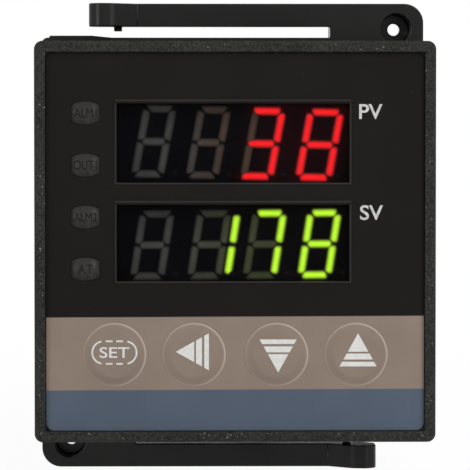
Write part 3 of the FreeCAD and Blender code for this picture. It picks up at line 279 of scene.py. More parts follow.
@dataclass(frozen=True)
class PrintedFilm(Finish):
    """Polycarbonate film, screen-printed on its back and embossed: bands of flat colour under
    a very fine velvet texture, a paler line on every embossed edge that is partly whitening of
    the stretched film and partly a painted highlight, window frames painted paler as a
    highlight, and a few specks of dust."""

    black: str = "#1c1b1a"
    upper_band: str = "#88796e"
    lower_band: str = "#535c6a"
    # painted highlight: the raised window frames catch the light, so they are painted paler than
    # the black
    frame: str = "#323130"
    # pale embossed edges: partly whitening of the stretched film, partly a painted highlight
    whitened_and_highlit_edge: str = "#cdc2b8"
    dust: str = "#6f6f6b"
    dust_mm: float = 0.17
    dust_start: float = 0.85
    upper_band_top: float = -8.96
    lower_band_top: float = -17.7
    frame_front: float = -9.56
    frame_blur: float = 0.02
    # heights of bands along the top of each window's frame that stay black, so only the outer line
    # carries the painted highlight
    frame_bands: tuple[float, float] = (16.69, 4.59)
    band_half: float = 0.14
    print_tilt: float = 0.23
    blur: float = 0.05
    tone_mm: float = 9.0
    grain_mm: float = 0.3
    grain_depth_mm: float = 0.003
    roughness: float = 0.5
    specular: float = 0.03

    def wire(self, tree: Tree) -> Feeds:
        """Pick the band by height, paint the window frames paler as a highlight by how far they
        stand out, with a band along the top of each frame kept black, and lighten the embossed edge
        where the mesh says so, partly as whitening and partly as a painted highlight.

        Args:
            tree: the node tree.

        Returns:
            For each of the shader's sockets, what feeds it.
        """
        place = add_node(tree, "TexCoord").outputs["Object"]
        axes = add_node(tree, "SeparateXYZ", {0: place}).outputs
        deep, proud = (self.frame_front + sign * self.frame_blur for sign in (1, -1))
        # painted highlight: where the film stands out at the window frames it is painted paler
        raised = add_node(tree, "MapRange", {0: axes["Y"], 1: deep * MM, 2: proud * MM}, **EASED)
        frame_highlights = {0: raised, 6: linear(self.black), 7: linear(self.frame)}
        face = add_node(tree, "Mix", frame_highlights, **RGBA)
        for height in self.frame_bands:
            gap = {0: axes["Z"], 1: height * MM, 2: self.band_half * MM}
            inside = add_node(tree, "Math", gap, operation="COMPARE")
            face = add_node(tree, "Mix", {0: inside, 6: face, 7: linear(self.black)}, **RGBA)
        fall = {0: axes["X"], 1: -math.tan(math.radians(self.print_tilt)), 2: axes["Z"]}
        level = add_node(tree, "Math", fall, operation="MULTIPLY_ADD")
        bands = ((self.upper_band_top, self.upper_band), (self.lower_band_top, self.lower_band))
        for top, ink in bands:
            edge = {0: level, 1: (top + self.blur) * MM, 2: (top - self.blur) * MM}
            below = add_node(tree, "MapRange", edge, **EASED)
            face = add_node(tree, "Mix", {0: below, 6: face, 7: linear(ink)}, **RGBA)
        value = clouds(tree, self.tone_mm, 3.0, 0.3, 0.7, 0.95, 1.05)
        tone = add_node(tree, "HueSaturation", {"Color": face, "Value": value})
        # the pale edge where the mesh's shade says, partly whitening and partly a painted highlight
        whitening_and_highlight_mix = {0: mesh_shade(tree), 6: tone, 7: linear(self.whitened_and_highlit_edge)}
        dusty = {0: specks(tree, self.dust_mm, self.dust_start),
                 6: add_node(tree, "Mix", whitening_and_highlight_mix, **RGBA), 7: linear(self.dust)}
        dull, bright = self.roughness + 0.05, self.roughness - 0.05
        return {
            "Base Color": add_node(tree, "Mix", dusty, **RGBA),
            "Roughness": clouds(tree, self.tone_mm, 3.0, 0.3, 0.7, bright, dull),
            "Normal": grain(tree, self.grain_mm, 2.0, self.grain_depth_mm),
            "Specular IOR Level": self.specular,
        }


@dataclass(frozen=True)
class SmokedAcrylic(Finish):
    """Cast acrylic sheet dyed through: it dims what lies behind and mirrors faintly."""

    tint: str = "#030306"
    cover: float = 0.42
    smear_mm: float = 5.0
    roughness: float = 0.14
    specular: float = 0.05

    def wire(self, tree: Tree) -> Feeds:
        """A dark, partly see-through skin with a trace of smears in its gloss.

        Args:
            tree: the node tree.

        Returns:
            For each of the shader's sockets, what feeds it.
        """
        smeared = self.roughness + 0.1
        return {
            "Base Color": linear(self.tint),
            "Alpha": self.cover,
            "Roughness": clouds(tree, self.smear_mm, 3.0, 0.35, 0.7, self.roughness, smeared),
            "Specular IOR Level": self.specular,
        }


@dataclass(frozen=True)
class LitEpoxy(Finish):
    """Dyed epoxy over an LED chip that is on: a bright core that fades softly to the edge."""

    core: str = "#ff1d22"
    rim: str = "#a82227"
    resin: str = "#20100c"
    strength: float = 3.1
    flicker_mm: float = 0.9

    def wire(self, tree: Tree) -> Feeds:
        """Light out of the bar by its shade, which is 1 along its middle and 0 at its rim.

        Args:
            tree: the node tree.

        Returns:
            For each of the shader's sockets, what feeds it.
        """
        shade = mesh_shade(tree)
        inner = add_node(tree, "MapRange", {0: shade, 1: 0.0, 2: 0.5}, **EASED)
        tones = {0: inner, 6: linear(self.rim), 7: linear(self.core)}
        glow = {0: shade, 1: 0.0, 2: 1.0, 3: 0.02 * self.strength, 4: self.strength}
        uneven = {0: add_node(tree, "MapRange", glow, **EASED),
                  1: clouds(tree, self.flicker_mm, 1.0, 0.3, 0.7, 0.94, 1.04)}
        return {
            "Base Color": linear(self.resin),
            "Roughness": 0.5,
            "Emission Color": add_node(tree, "Mix", tones, **RGBA),
            "Emission Strength": add_node(tree, "Math", uneven, operation="MULTIPLY"),
        }


@dataclass(frozen=True)
class MilkyEpoxy(Finish):
    """Milky epoxy over an LED chip that is off: a dim grey bar with a soft edge, with the light
    of its lit neighbours painted on as a trace of their colour on the side where they are lit."""

    milk: str = "#aeaea9"
    # painted light: the lit neighbours' colour laid into the milky base, growing to the right
    neighbour_glow: str = "#c49b85"
    rim: str = "#161616"
    neighbour_glow_start: float = -9.0
    neighbour_glow_stop: float = 2.0
    cloud_mm: float = 1.4

    def wire(self, tree: Tree) -> Feeds:
        """Milky in the middle and darker towards the rim, with faint clouds in the resin and
        the painted light of the lit neighbours growing to the right.

        Args:
            tree: the node tree.

        Returns:
            For each of the shader's sockets, what feeds it.
        """
        place = add_node(tree, "TexCoord").outputs["Object"]
        across = {0: add_node(tree, "SeparateXYZ", {0: place}),
                  1: self.neighbour_glow_start * MM, 2: self.neighbour_glow_stop * MM}
        tones = {0: add_node(tree, "MapRange", across, **EASED),
                 6: linear(self.milk), 7: linear(self.neighbour_glow)}
        value = clouds(tree, self.cloud_mm, 2.0, 0.3, 0.7, 0.9, 1.08)
        base = add_node(tree, "Mix", tones, **RGBA)
        resin = add_node(tree, "HueSaturation", {"Color": base, "Value": value})
        inner = add_node(tree, "MapRange", {0: mesh_shade(tree), 1: 0.0, 2: 0.8}, **EASED)
        return {
            "Base Color": add_node(tree, "Mix", {0: inner, 6: linear(self.rim), 7: resin}, **RGBA),
            "Roughness": 0.7,
            "Specular IOR Level": 0.1,
        }


@dataclass(frozen=True)
class DisplayFace(Finish):
    """The black printed face of a display, with the lit bars' stray light painted on round them as
    a glow.
    """

    glow: str = "#ff1418"
    strength: float = 0.03
    face: str = "#100f14"
    thin: str = "#0b0a0c"
    cloud_mm: float = 3.0

    def wire(self, tree: Tree) -> Feeds:
        """Black with a bluish trace, and stray light where the mesh says how much.

        Args:
            tree: the node tree.

        Returns:
            For each of the shader's sockets, what feeds it.
        """
        share = clouds(tree, self.cloud_mm, 2.0, 0.3, 0.7)
        tones = {0: share, 6: linear(self.face), 7: linear(self.thin)}
        stray = {0: mesh_shade(tree), 1: 0.0, 2: 1.0, 3: 0.0, 4: self.strength}
        return {
            "Base Color": add_node(tree, "Mix", tones, **RGBA),
            "Roughness": 0.6,
            "Specular IOR Level": 0.1,
            # painted light: the face glows with the lit bars' stray light as emission, though it is
            # no lamp
            "Emission Color": linear(self.glow),
            "Emission Strength": add_node(tree, "MapRange", stray, **EASED),
        }


@dataclass(frozen=True)
class LegendInk(Finish):
    """Screen-printed ink: flat, opaque, and a little uneven where the mesh printed."""

    ink: str = "#c8c8c6"
    thin: str = "#b4b4b2"
    mesh_mm: float = 0.5

    def wire(self, tree: Tree) -> Feeds:
        """Two close tones in clouds a few threads wide, coarser than real so as to show.

        Args:
            tree: the node tree.

        Returns:
            For each of the shader's sockets, what feeds it.
        """
        share = clouds(tree, self.mesh_mm, 1.0, 0.35, 0.65)
        tones = {0: share, 6: linear(self.ink), 7: linear(self.thin)}
        return {
            "Base Color": add_node(tree, "Mix", tones, **RGBA),
            "Roughness": 0.55,
            "Specular IOR Level": 0.1,
        }


@dataclass(frozen=True)
class PlatedMetal(Finish):
    """Stamped or headed metal under a thin bright plating: cloudy gloss and fine drag lines."""

    colour: str = "#c9c9c4"
    cloud: str = "#a3a49e"
    cloud_mm: float = 2.0
    roughness: float = 0.3
    line_mm: float = 0.12
    line_depth_mm: float = 0.004
    drag: float = 0.08

    def wire(self, tree: Tree) -> Feeds:
        """Metal with clouds in colour and gloss, and lines from noise stretched along X.

        Args:
            tree: the node tree.

        Returns:
            For each of the shader's sockets, what feeds it.
        """
        share = clouds(tree, self.cloud_mm, 3.0, 0.3, 0.7)
        tones = {0: share, 6: linear(self.colour), 7: linear(self.cloud)}
        place = add_node(tree, "TexCoord").outputs["Object"]
        drawn = add_node(tree, "Mapping", {"Vector": place, "Scale": (self.drag, 1.0, 1.0)})
        fine = {"Vector": drawn, "Scale": 1 / (self.line_mm * MM), "Detail": 2.0}
        lines = {"Height": add_node(tree, "TexNoise", fine), "Distance": self.line_depth_mm * MM,
                 "Strength": 1.0}
        dull, bright = self.roughness + 0.12, self.roughness - 0.08
        return {
            "Base Color": add_node(tree, "Mix", tones, **RGBA),
            "Metallic": 1.0,
            "Roughness": clouds(tree, self.cloud_mm, 3.0, 0.3, 0.7, bright, dull),
            "Normal": add_node(tree, "Bump", lines),
        }


@dataclass(frozen=True)
class CircuitBoard(Finish):
    """Glass-epoxy board under green lacquer: copper tracks show as paler straight lines."""

    lacquer: str = "#1c5a34"
    track: str = "#2f7d48"
    track_mm: float = 1.3
    track_depth_mm: float = 0.03

    def wire(self, tree: Tree) -> Feeds:
        """Tracks where a stepped pattern of cells has its lines.

        Args:
            tree: the node tree.

        Returns:
            For each of the shader's sockets, what feeds it.
        """
        place = add_node(tree, "TexCoord").outputs["Object"]
        cells = {"Vector": place, "Scale": 1 / (3 * self.track_mm * MM)}
        cells = add_node(tree, "TexVoronoi", cells, distance="MANHATTAN", feature="F1")
        tracks = add_node(tree, "MapRange", {0: cells, 1: 0.34, 2: 0.38}, **EASED)
        tones = {0: tracks, 6: linear(self.lacquer), 7: linear(self.track)}
        raised = {"Height": tracks, "Distance": self.track_depth_mm * MM, "Strength": 1.0}
        return {
            "Base Color": add_node(tree, "Mix", tones, **RGBA),
            "Roughness": 0.35,
            "Normal": add_node(tree, "Bump", raised),
        }


# The bezel, ABS from a spark-eroded tool: matt, coarsely mottled, with pale rubbed specks.
BEZEL_ABS = MouldedPlastic("textured_abs", "bezel_abs", colour="#2b2b29", drift_colour="#262624",
                           speck="#74746c", speck_start=0.78, grain_mm=0.24, mottle=0.5,
                           grain_depth_mm=0.02, roughness=0.5, specular=0.1)
# The case, ABS from a finer tool: an even dull satin on its large faces.
CASE_ABS = MouldedPlastic("satin_abs", "case_abs", colour="#262625", drift_colour="#242423",
                          mottle=0.2, roughness=0.52, drift=0.03, drift_mm=16.0,
                          grain_depth_mm=0.012)
# The terminal block, glass-filled polyester: dense black that the glass just clouds.
BLOCK_POLYMER = MouldedPlastic("glass_filled_polyester", "terminal_polymer", colour="#1d1d1c",
                               drift_colour="#1b1b1a", mottle=0.15, roughness=0.45, drift=0.04)
# The bracket, nylon from a polished tool: black, with bright streaks where it curves.
BRACKET_NYLON = MouldedPlastic("glossy_nylon", "bracket_nylon", colour="#141413",
                               drift_colour="#111110", speck="#3e3e3a", speck_start=0.86,
                               grain_depth_mm=0.002, roughness=0.26, specular=0.2)
# The header strips, moulded nylon: plain satin black.
HEADER_NYLON = MouldedPlastic("header_nylon", "black_nylon", colour="#161616")
# The chips and the bridge, transfer-moulded epoxy: dull and greyish.
EPOXY_CASE = MouldedPlastic("moulded_epoxy", "black_epoxy", colour="#1a1a1a", roughness=0.6)
# The display housings, epoxy poured in a mould: near black and a little blue.
HOUSING_EPOXY = MouldedPlastic("potting_epoxy", "display_epoxy", colour="#0d0d0f",
                               drift_colour="#0a0a0c", speck="#1c1c1e", specular=0.1)
# The light guides, acrylic from a frosted tool: a soft grey while no lamp is lit.
GUIDE_ACRYLIC = MouldedPlastic("frosted_acrylic", "light_guide_acrylic", colour="#343331",
                               drift_colour="#302f2d", speck="#3c3b38", speck_start=0.93,
                               roughness=0.42, grain_depth_mm=0.002, specular=0.1)
# The lamps, white polyamide packages: chalky and a little warm.
LED_PACKAGE = MouldedPlastic("white_polyamide", "led_package", colour="#e4e2d6",
                             drift_colour="#dad7c6", speck="#c9c6b4", roughness=0.5)
# The transformer, polyester tape wound over ferrite: smooth amber with dark dust.
FERRITE = MouldedPlastic("polyester_tape", "ferrite_and_tape", colour="#b99a3a",
                         drift_colour="#a98a2e", speck="#3a3a38", roughness=0.45)
# The smoothing capacitor, vinyl sleeve shrunk tight: navy and fairly glossy.
SLEEVE = MouldedPlastic("shrunk_vinyl_sleeve", "capacitor_sleeve", colour="#1b2233",
                        drift_colour="#171d2c", speck="#39415a", roughness=0.3)
# The film capacitor, resin cast in a box: ochre and waxy.
BOX_FILM = MouldedPlastic("cast_resin", "film_capacitor_case", colour="#a9822f",
                          drift_colour="#9c7729", speck="#c7a45a", roughness=0.45)
# The varistor, dipped in lacquer: blue with a soft gloss.
LACQUER = MouldedPlastic("dipped_lacquer", "varistor_lacquer", colour="#1f4f8d",
                         drift_colour="#1a467e", speck="#4a76ad", roughness=0.35)
# The relays, moulded polyester covers: blue-grey satin.
RELAY_COVER = MouldedPlastic("polyester_cover", "relay_cover", colour="#2d3134",
                             drift_colour="#282b2e", speck="#55595c", roughness=0.4)
# The plungers, moulded acetal: milky white.
ACETAL = MouldedPlastic("white_acetal", "plunger_acetal", colour="#d9d8d2",
                        drift_colour="#cfcec7", speck="#bdbcb4", roughness=0.5)
# The switches, moulded polyamide: plain dark grey.
SWITCH_CASE = MouldedPlastic("switch_polyamide", "switch_housing", colour="#232323")
# The film: velvety charcoal, with a taupe band and a slate one, pale embossed edges that are
# partly whitened and partly a painted highlight, and window frames painted paler as a highlight.
FILM = PrintedFilm("embossed_polycarbonate_film", "printed_film")
# The panes: a dark veil over what lies behind, and a faint mirror.
PANE = SmokedAcrylic("smoked_cast_acrylic", "smoked_acrylic")
# The bars that are on: a red and a yellow-green glow, softer at the rim.
LIT_RED = LitEpoxy("lit_red_epoxy", "lit_red")
LIT_GREEN = LitEpoxy("lit_green_epoxy", "lit_green", core="#c1ff33", rim="#8d9a32")
# The bars that are off: milky grey, with painted light of the lit bars, a little rosy by the red
# ones and olive by the green.
PV_UNLIT = MilkyEpoxy("milky_epoxy_by_red", "unlit_segment")
SV_UNLIT = MilkyEpoxy("milky_epoxy_by_green", "unlit_segment", neighbour_glow="#aeb584")
# The displays' faces: black, with a painted red or faint olive glow of stray light round the lit
# bars.
RED_FACE = DisplayFace("red_display_face", "display_epoxy")
GREEN_FACE = DisplayFace("green_display_face", "display_epoxy", glow="#a89a20", strength=0.006)
# The inks: off-white for the legends, brighter on the keys and near black on the lamps.
WHITE_INK = LegendInk("pale_ink", "printed_film")
KEY_INK = LegendInk("key_ink", "printed_film", ink="#d9d8d5", thin="#d2d1ce")
DARK_INK = LegendInk("dark_ink", "printed_film", ink="#111010", thin="#151413")
# The terminals' tabs: warm pale grey, cloudy. Screws and washers: cooler and brighter.
BRASS = PlatedMetal("tin_plated_brass", "tinned_brass", colour="#c6c3b6", cloud="#a8a396")
STEEL = PlatedMetal("zinc_plated_screw_steel", "zinc_plated_steel")
# The boards: glossy green, with paler raised tracks.
BOARD = CircuitBoard("lacquered_glass_epoxy", "circuit_board")

NODE_FINISHES: dict[str, Finish] = {
    "pv_filter": PANE, "sv_filter": PANE,
    "pv_display": HOUSING_EPOXY, "sv_display": HOUSING_EPOXY,
    "indicator_leds": LED_PACKAGE,
    "display_board": BOARD, "power_board": BOARD, "control_board": BOARD,
    "board_headers": HEADER_NYLON, "transformer": FERRITE,
    "electrolytic_capacitor": SLEEVE, "film_capacitor": BOX_FILM, "varistor": LACQUER,
    "bridge_rectifier": EPOXY_CASE, "microcontroller": EPOXY_CASE, "optocoupler": EPOXY_CASE,
    "output_relay": RELAY_COVER, "alarm_relay": RELAY_COVER,
}


# ------------------------------------------------------------------------------------------
# Meshes
# ------------------------------------------------------------------------------------------

@dataclass(frozen=True)
class Span:
    """A node's box, in millimetres."""

    low: Array
    high: Array

    @classmethod
    def of(cls, node: str) -> "Span":
        """The box of a node of the frame."""
        low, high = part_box(node)
        return cls(np.array(low) / MM, np.array(high) / MM)

    @property
    def centre(self) -> Array:
        """The middle of the box."""
        return (self.low + self.high) / 2

    @property
    def size(self) -> Array:
        """The sides of the box."""
        return self.high - self.low


@dataclass
class Patchwork:
    """Grid surfaces gathered into one mesh, each point with a shade from 0 to 1."""

    points: list[Array] = field(default_factory=list)
    quads: list[Array] = field(default_factory=list)
    shades: list[Array] = field(default_factory=list)
    count: int = 0

    def add(self, grid: Array, shade: Array | float = 0.0, wrap: bool = True) -> None:
        """Add a grid of points. Quad i, j joins point i, j to its neighbours along both
        directions.

        Args:
            grid: points as rows, columns and x, y, z, in millimetres.
            shade: each point's shade, or one for all.
            wrap: whether the last column joins the first.
        """
        rows, columns = grid.shape[:2]
        index = self.count + np.arange(rows * columns).reshape(rows, columns)
        if wrap:
            index = np.concatenate([index, index[:, :1]], axis=1)
        corners = [index[:-1, :-1], index[:-1, 1:], index[1:, 1:], index[1:, :-1]]
        self.quads.append(np.stack(corners, axis=-1).reshape(-1, 4))
        self.points.append(grid.reshape(-1, 3))
        self.shades.append(np.broadcast_to(shade, (rows, columns)).reshape(-1))
        self.count += rows * columns

    def build(self, name: str, smooth_angle: float = 40.0) -> bpy.types.Object:
        """Make the piece.

        Args:
            name: the piece's name.
            smooth_angle: edges sharper than this many degrees stay crisp.

        Returns:
            The piece, with doubled points merged and its normals outwards.
        """
        mesh = bpy.data.meshes.new(name)
        points = np.concatenate(self.points) * MM
        mesh.from_pydata(points, [], np.concatenate(self.quads))
        attribute = mesh.attributes.new("shade", "FLOAT", "POINT")
        attribute.data.foreach_set("value", np.concatenate(self.shades).astype(np.float32))
        return finished(mesh, name, smooth_angle, 0.0005)


def finished(
    mesh: bpy.types.Mesh, name: str, smooth_angle: float, merge_mm: float
) -> bpy.types.Object:
    """Merge a mesh's doubled points, turn its normals outwards and make it a piece.

    Args:
        mesh: the mesh.
        name: the piece's name.
        smooth_angle: edges sharper than this many degrees stay crisp.
        merge_mm: points nearer than this become one.

    Returns:
        The piece.
    """
    work = bmesh.new()
    work.from_mesh(mesh)
    bmesh.ops.remove_doubles(work, verts=work.verts, dist=merge_mm * MM)
    bmesh.ops.dissolve_degenerate(work, edges=work.edges, dist=1e-8)
    bmesh.ops.recalc_face_normals(work, faces=work.faces)
    work.to_mesh(mesh)
    work.free()
    mesh.shade_smooth()
    mesh.set_sharp_from_angle(angle=math.radians(smooth_angle))
    piece = bpy.data.objects.new(name, mesh)
    bpy.context.scene.collection.objects.link(piece)
    return piece


def dress(piece: bpy.types.Object, finish: Finish, body: str) -> bpy.types.Object:
    """Give a new piece its finish and the body it rides on.

    Args:
        piece: the piece.
        finish: its finish.
        body: the body it rides on.

    Returns:
        The same piece.
    """
    piece.data.materials.clear()
    piece.data.materials.append(finish.material())
    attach(piece, body)
    LOG.info("%s: %d faces", piece.name, len(piece.data.polygons))
    return piece


def paint(node: str, finish: Finish) -> None:
    """Give a node that shows its own mesh its finish.

    Args:
        node: the node.
        finish: its finish.
    """
    materials = frame["nodes"][node].data.materials
    materials.clear()
    materials.append(finish.material())
    LOG.info("%s: its own mesh", node)


def merged_copy(node: str, finish: Finish, body: str, bevel_mm: float = 0.15) -> bpy.types.Object:
    """A copy of a node with its points merged and its edges rounded, in the node's place.

    Args:
        node: the node it stands for.
        finish: its finish.
        body: the body it rides on.
        bevel_mm: the radius that the tool left on its edges.

    Returns:
        The piece.
    """
    mesh = frame["nodes"][node].data.copy()
    mesh.materials.clear()
    piece = finished(mesh, f"{node}_moulding", CRISP_FROM, MERGE_MM)
    if bevel_mm:
        bevel = piece.modifiers.new("rounded_edges", "BEVEL")
        bevel.width = bevel_mm * MM
        bevel.segments = 2
        bevel.limit_method = "ANGLE"
        bevel.angle_limit = math.radians(ROUND_FROM)
    even = piece.modifiers.new("flat_faces_stay_flat", "WEIGHTED_NORMAL")
    even.keep_sharp = True
    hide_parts(node)
    return dress(piece, finish, body)


def prism(outline: Array, front: float, back: float) -> Array:
    """A flat plate with an upright rim: from the front's middle out to the outline, back along
    Y, and in to the back's middle.

    Args:
        outline: x and z of its corners, in order.
        front: y of the front face.
        back: y of the back face.

    Returns:
        Its grid of points.
    """
    middle = np.broadcast_to(outline.mean(axis=0), outline.shape)
    rows = [(middle, front), (outline, front), (outline, back), (middle, back)]
    return np.stack([np.insert(flat, 1, y, axis=1) for flat, y in rows])


def ribbon(path: Array, width: float, front: float, back: float) -> Array:
    """A flat strip along a path: a rectangle carried square to the path's direction, closed at
    both ends.

    Args:
        path: x and z of its points.
        width: its width.
        front: y of the front face.
        back: y of the back face.

    Returns:
        Its grid of points.
    """
    along = np.gradient(path, axis=0)
    along /= np.linalg.norm(along, axis=1, keepdims=True)
    side = np.stack([-along[:, 1], along[:, 0]], axis=1) * width / 2
    left, right = path + side, path - side
    corners = [(left, front), (right, front), (right, back), (left, back)]
    grid = np.stack([np.insert(flat, 1, y, axis=1) for flat, y in corners], axis=1)
    ends = [np.broadcast_to(grid[i].mean(axis=0), (1, 4, 3)) for i in (0, -1)]
    return np.concatenate([ends[0], grid, ends[1]])


class Side(Enum):
    """Which way a legend faces."""

    FRONT = "front"
    REAR = "rear"


@dataclass(frozen=True)
class Legend:
    """A few letters printed on a face that looks to the front or to the rear."""

    words: str
    x: float
    z: float
    cap_height: float
    width: float | None
    weight: float = 0.0
    thickness: float = 0.02
    set_depth: float = 0.01
    curve_steps: int = 6

    def build(self, name: str, y: float, facing: Side = Side.FRONT) -> bpy.types.Object:
        """Set the letters, fit them to their box, or to their height alone where no width is
        given, and lay them on the face.

        Args:
            name: the piece's name.
            y: the face's y, in millimetres.
            facing: which way the face looks.

        Returns:
            The piece.
        """
        curve = bpy.data.curves.new(name, "FONT")
        curve.body = self.words
        curve.offset = self.weight
        curve.extrude = self.set_depth
        curve.resolution_u = self.curve_steps
        holder = bpy.data.objects.new(name + "_type", curve)
        bpy.context.scene.collection.objects.link(holder)
        bpy.context.view_layer.update()
        settled = holder.evaluated_get(bpy.context.evaluated_depsgraph_get())
        mesh = bpy.data.meshes.new_from_object(settled)
        bpy.data.objects.remove(holder)
        bpy.data.curves.remove(curve)
        flat = np.empty(len(mesh.vertices) * 3, dtype=np.float32)
        mesh.vertices.foreach_get("co", flat)
        points = flat.reshape(-1, 3).astype(float)
        low, high = points.min(axis=0), points.max(axis=0)
        size = high - low
        unit = (points - (low + high) / 2) / size
        turn = 1 if facing is Side.FRONT else -1
        width = self.width or self.cap_height * size[0] / size[1]
        across, up, out = unit[:, 0] * width, unit[:, 1] * self.cap_height, unit[:, 2]
        placed = np.stack([
            self.x + turn * across, y - turn * (out + 0.5) * self.thickness, self.z + up,
        ], axis=1)
        mesh.vertices.foreach_set("co", (placed * MM).astype(np.float32).reshape(-1))
        mesh.update()
        return finished(mesh, name, 30.0, 0.0001)


# ------------------------------------------------------------------------------------------
# Front
# ------------------------------------------------------------------------------------------

@dataclass
class Front:
    """The bezel, the printed film with its legends, and the four indicator windows."""

    bezel_bevel: float = 0.16
    film_bevel: float = 0.045
    legends: tuple[Legend, ...] = (
        Legend("PV", 16.2, 15.56, 1.79, 2.78, 0.014),
        Legend("SV", 16.3, 3.49, 1.79, 2.75, 0.014),
    )
    lamp_words: tuple[tuple[str, str, float], ...] = (
        ("alarm_one", "ALM1", 2.75), ("output_one", "OUT1", 2.75),
        ("alarm_two", "ALM2", 2.75), ("autotune", "A.T", 1.7),
    )
    lamp_cap_height: float = 1.1

    def build(self) -> None:
        """Make the front."""
        merged_copy("front_bezel", BEZEL_ABS, INSTRUMENT, self.bezel_bevel)
        merged_copy("front_overlay", FILM, INSTRUMENT, self.film_bevel)
        face = Span.of("alarm_one_light_guide").low[1]
        for legend in self.legends:
            piece = legend.build(f"{legend.words.lower()}_legend", face)
            dress(piece, WHITE_INK, INSTRUMENT)
        for lamp, words, width in self.lamp_words:
            merged_copy(f"{lamp}_light_guide", GUIDE_ACRYLIC, INSTRUMENT, 0.0)
            centre = Span.of(f"{lamp}_light_guide").centre
            legend = Legend(words, centre[0], centre[2], self.lamp_cap_height, width)
            dress(legend.build(f"{lamp}_legend", face), DARK_INK, INSTRUMENT)


# ------------------------------------------------------------------------------------------
# Keys
# ------------------------------------------------------------------------------------------

class Symbol(Enum):
    """What a key shows."""

    WORD = "word"
    LEFT = "left"
    DOWN = "down"
    UP = "up"


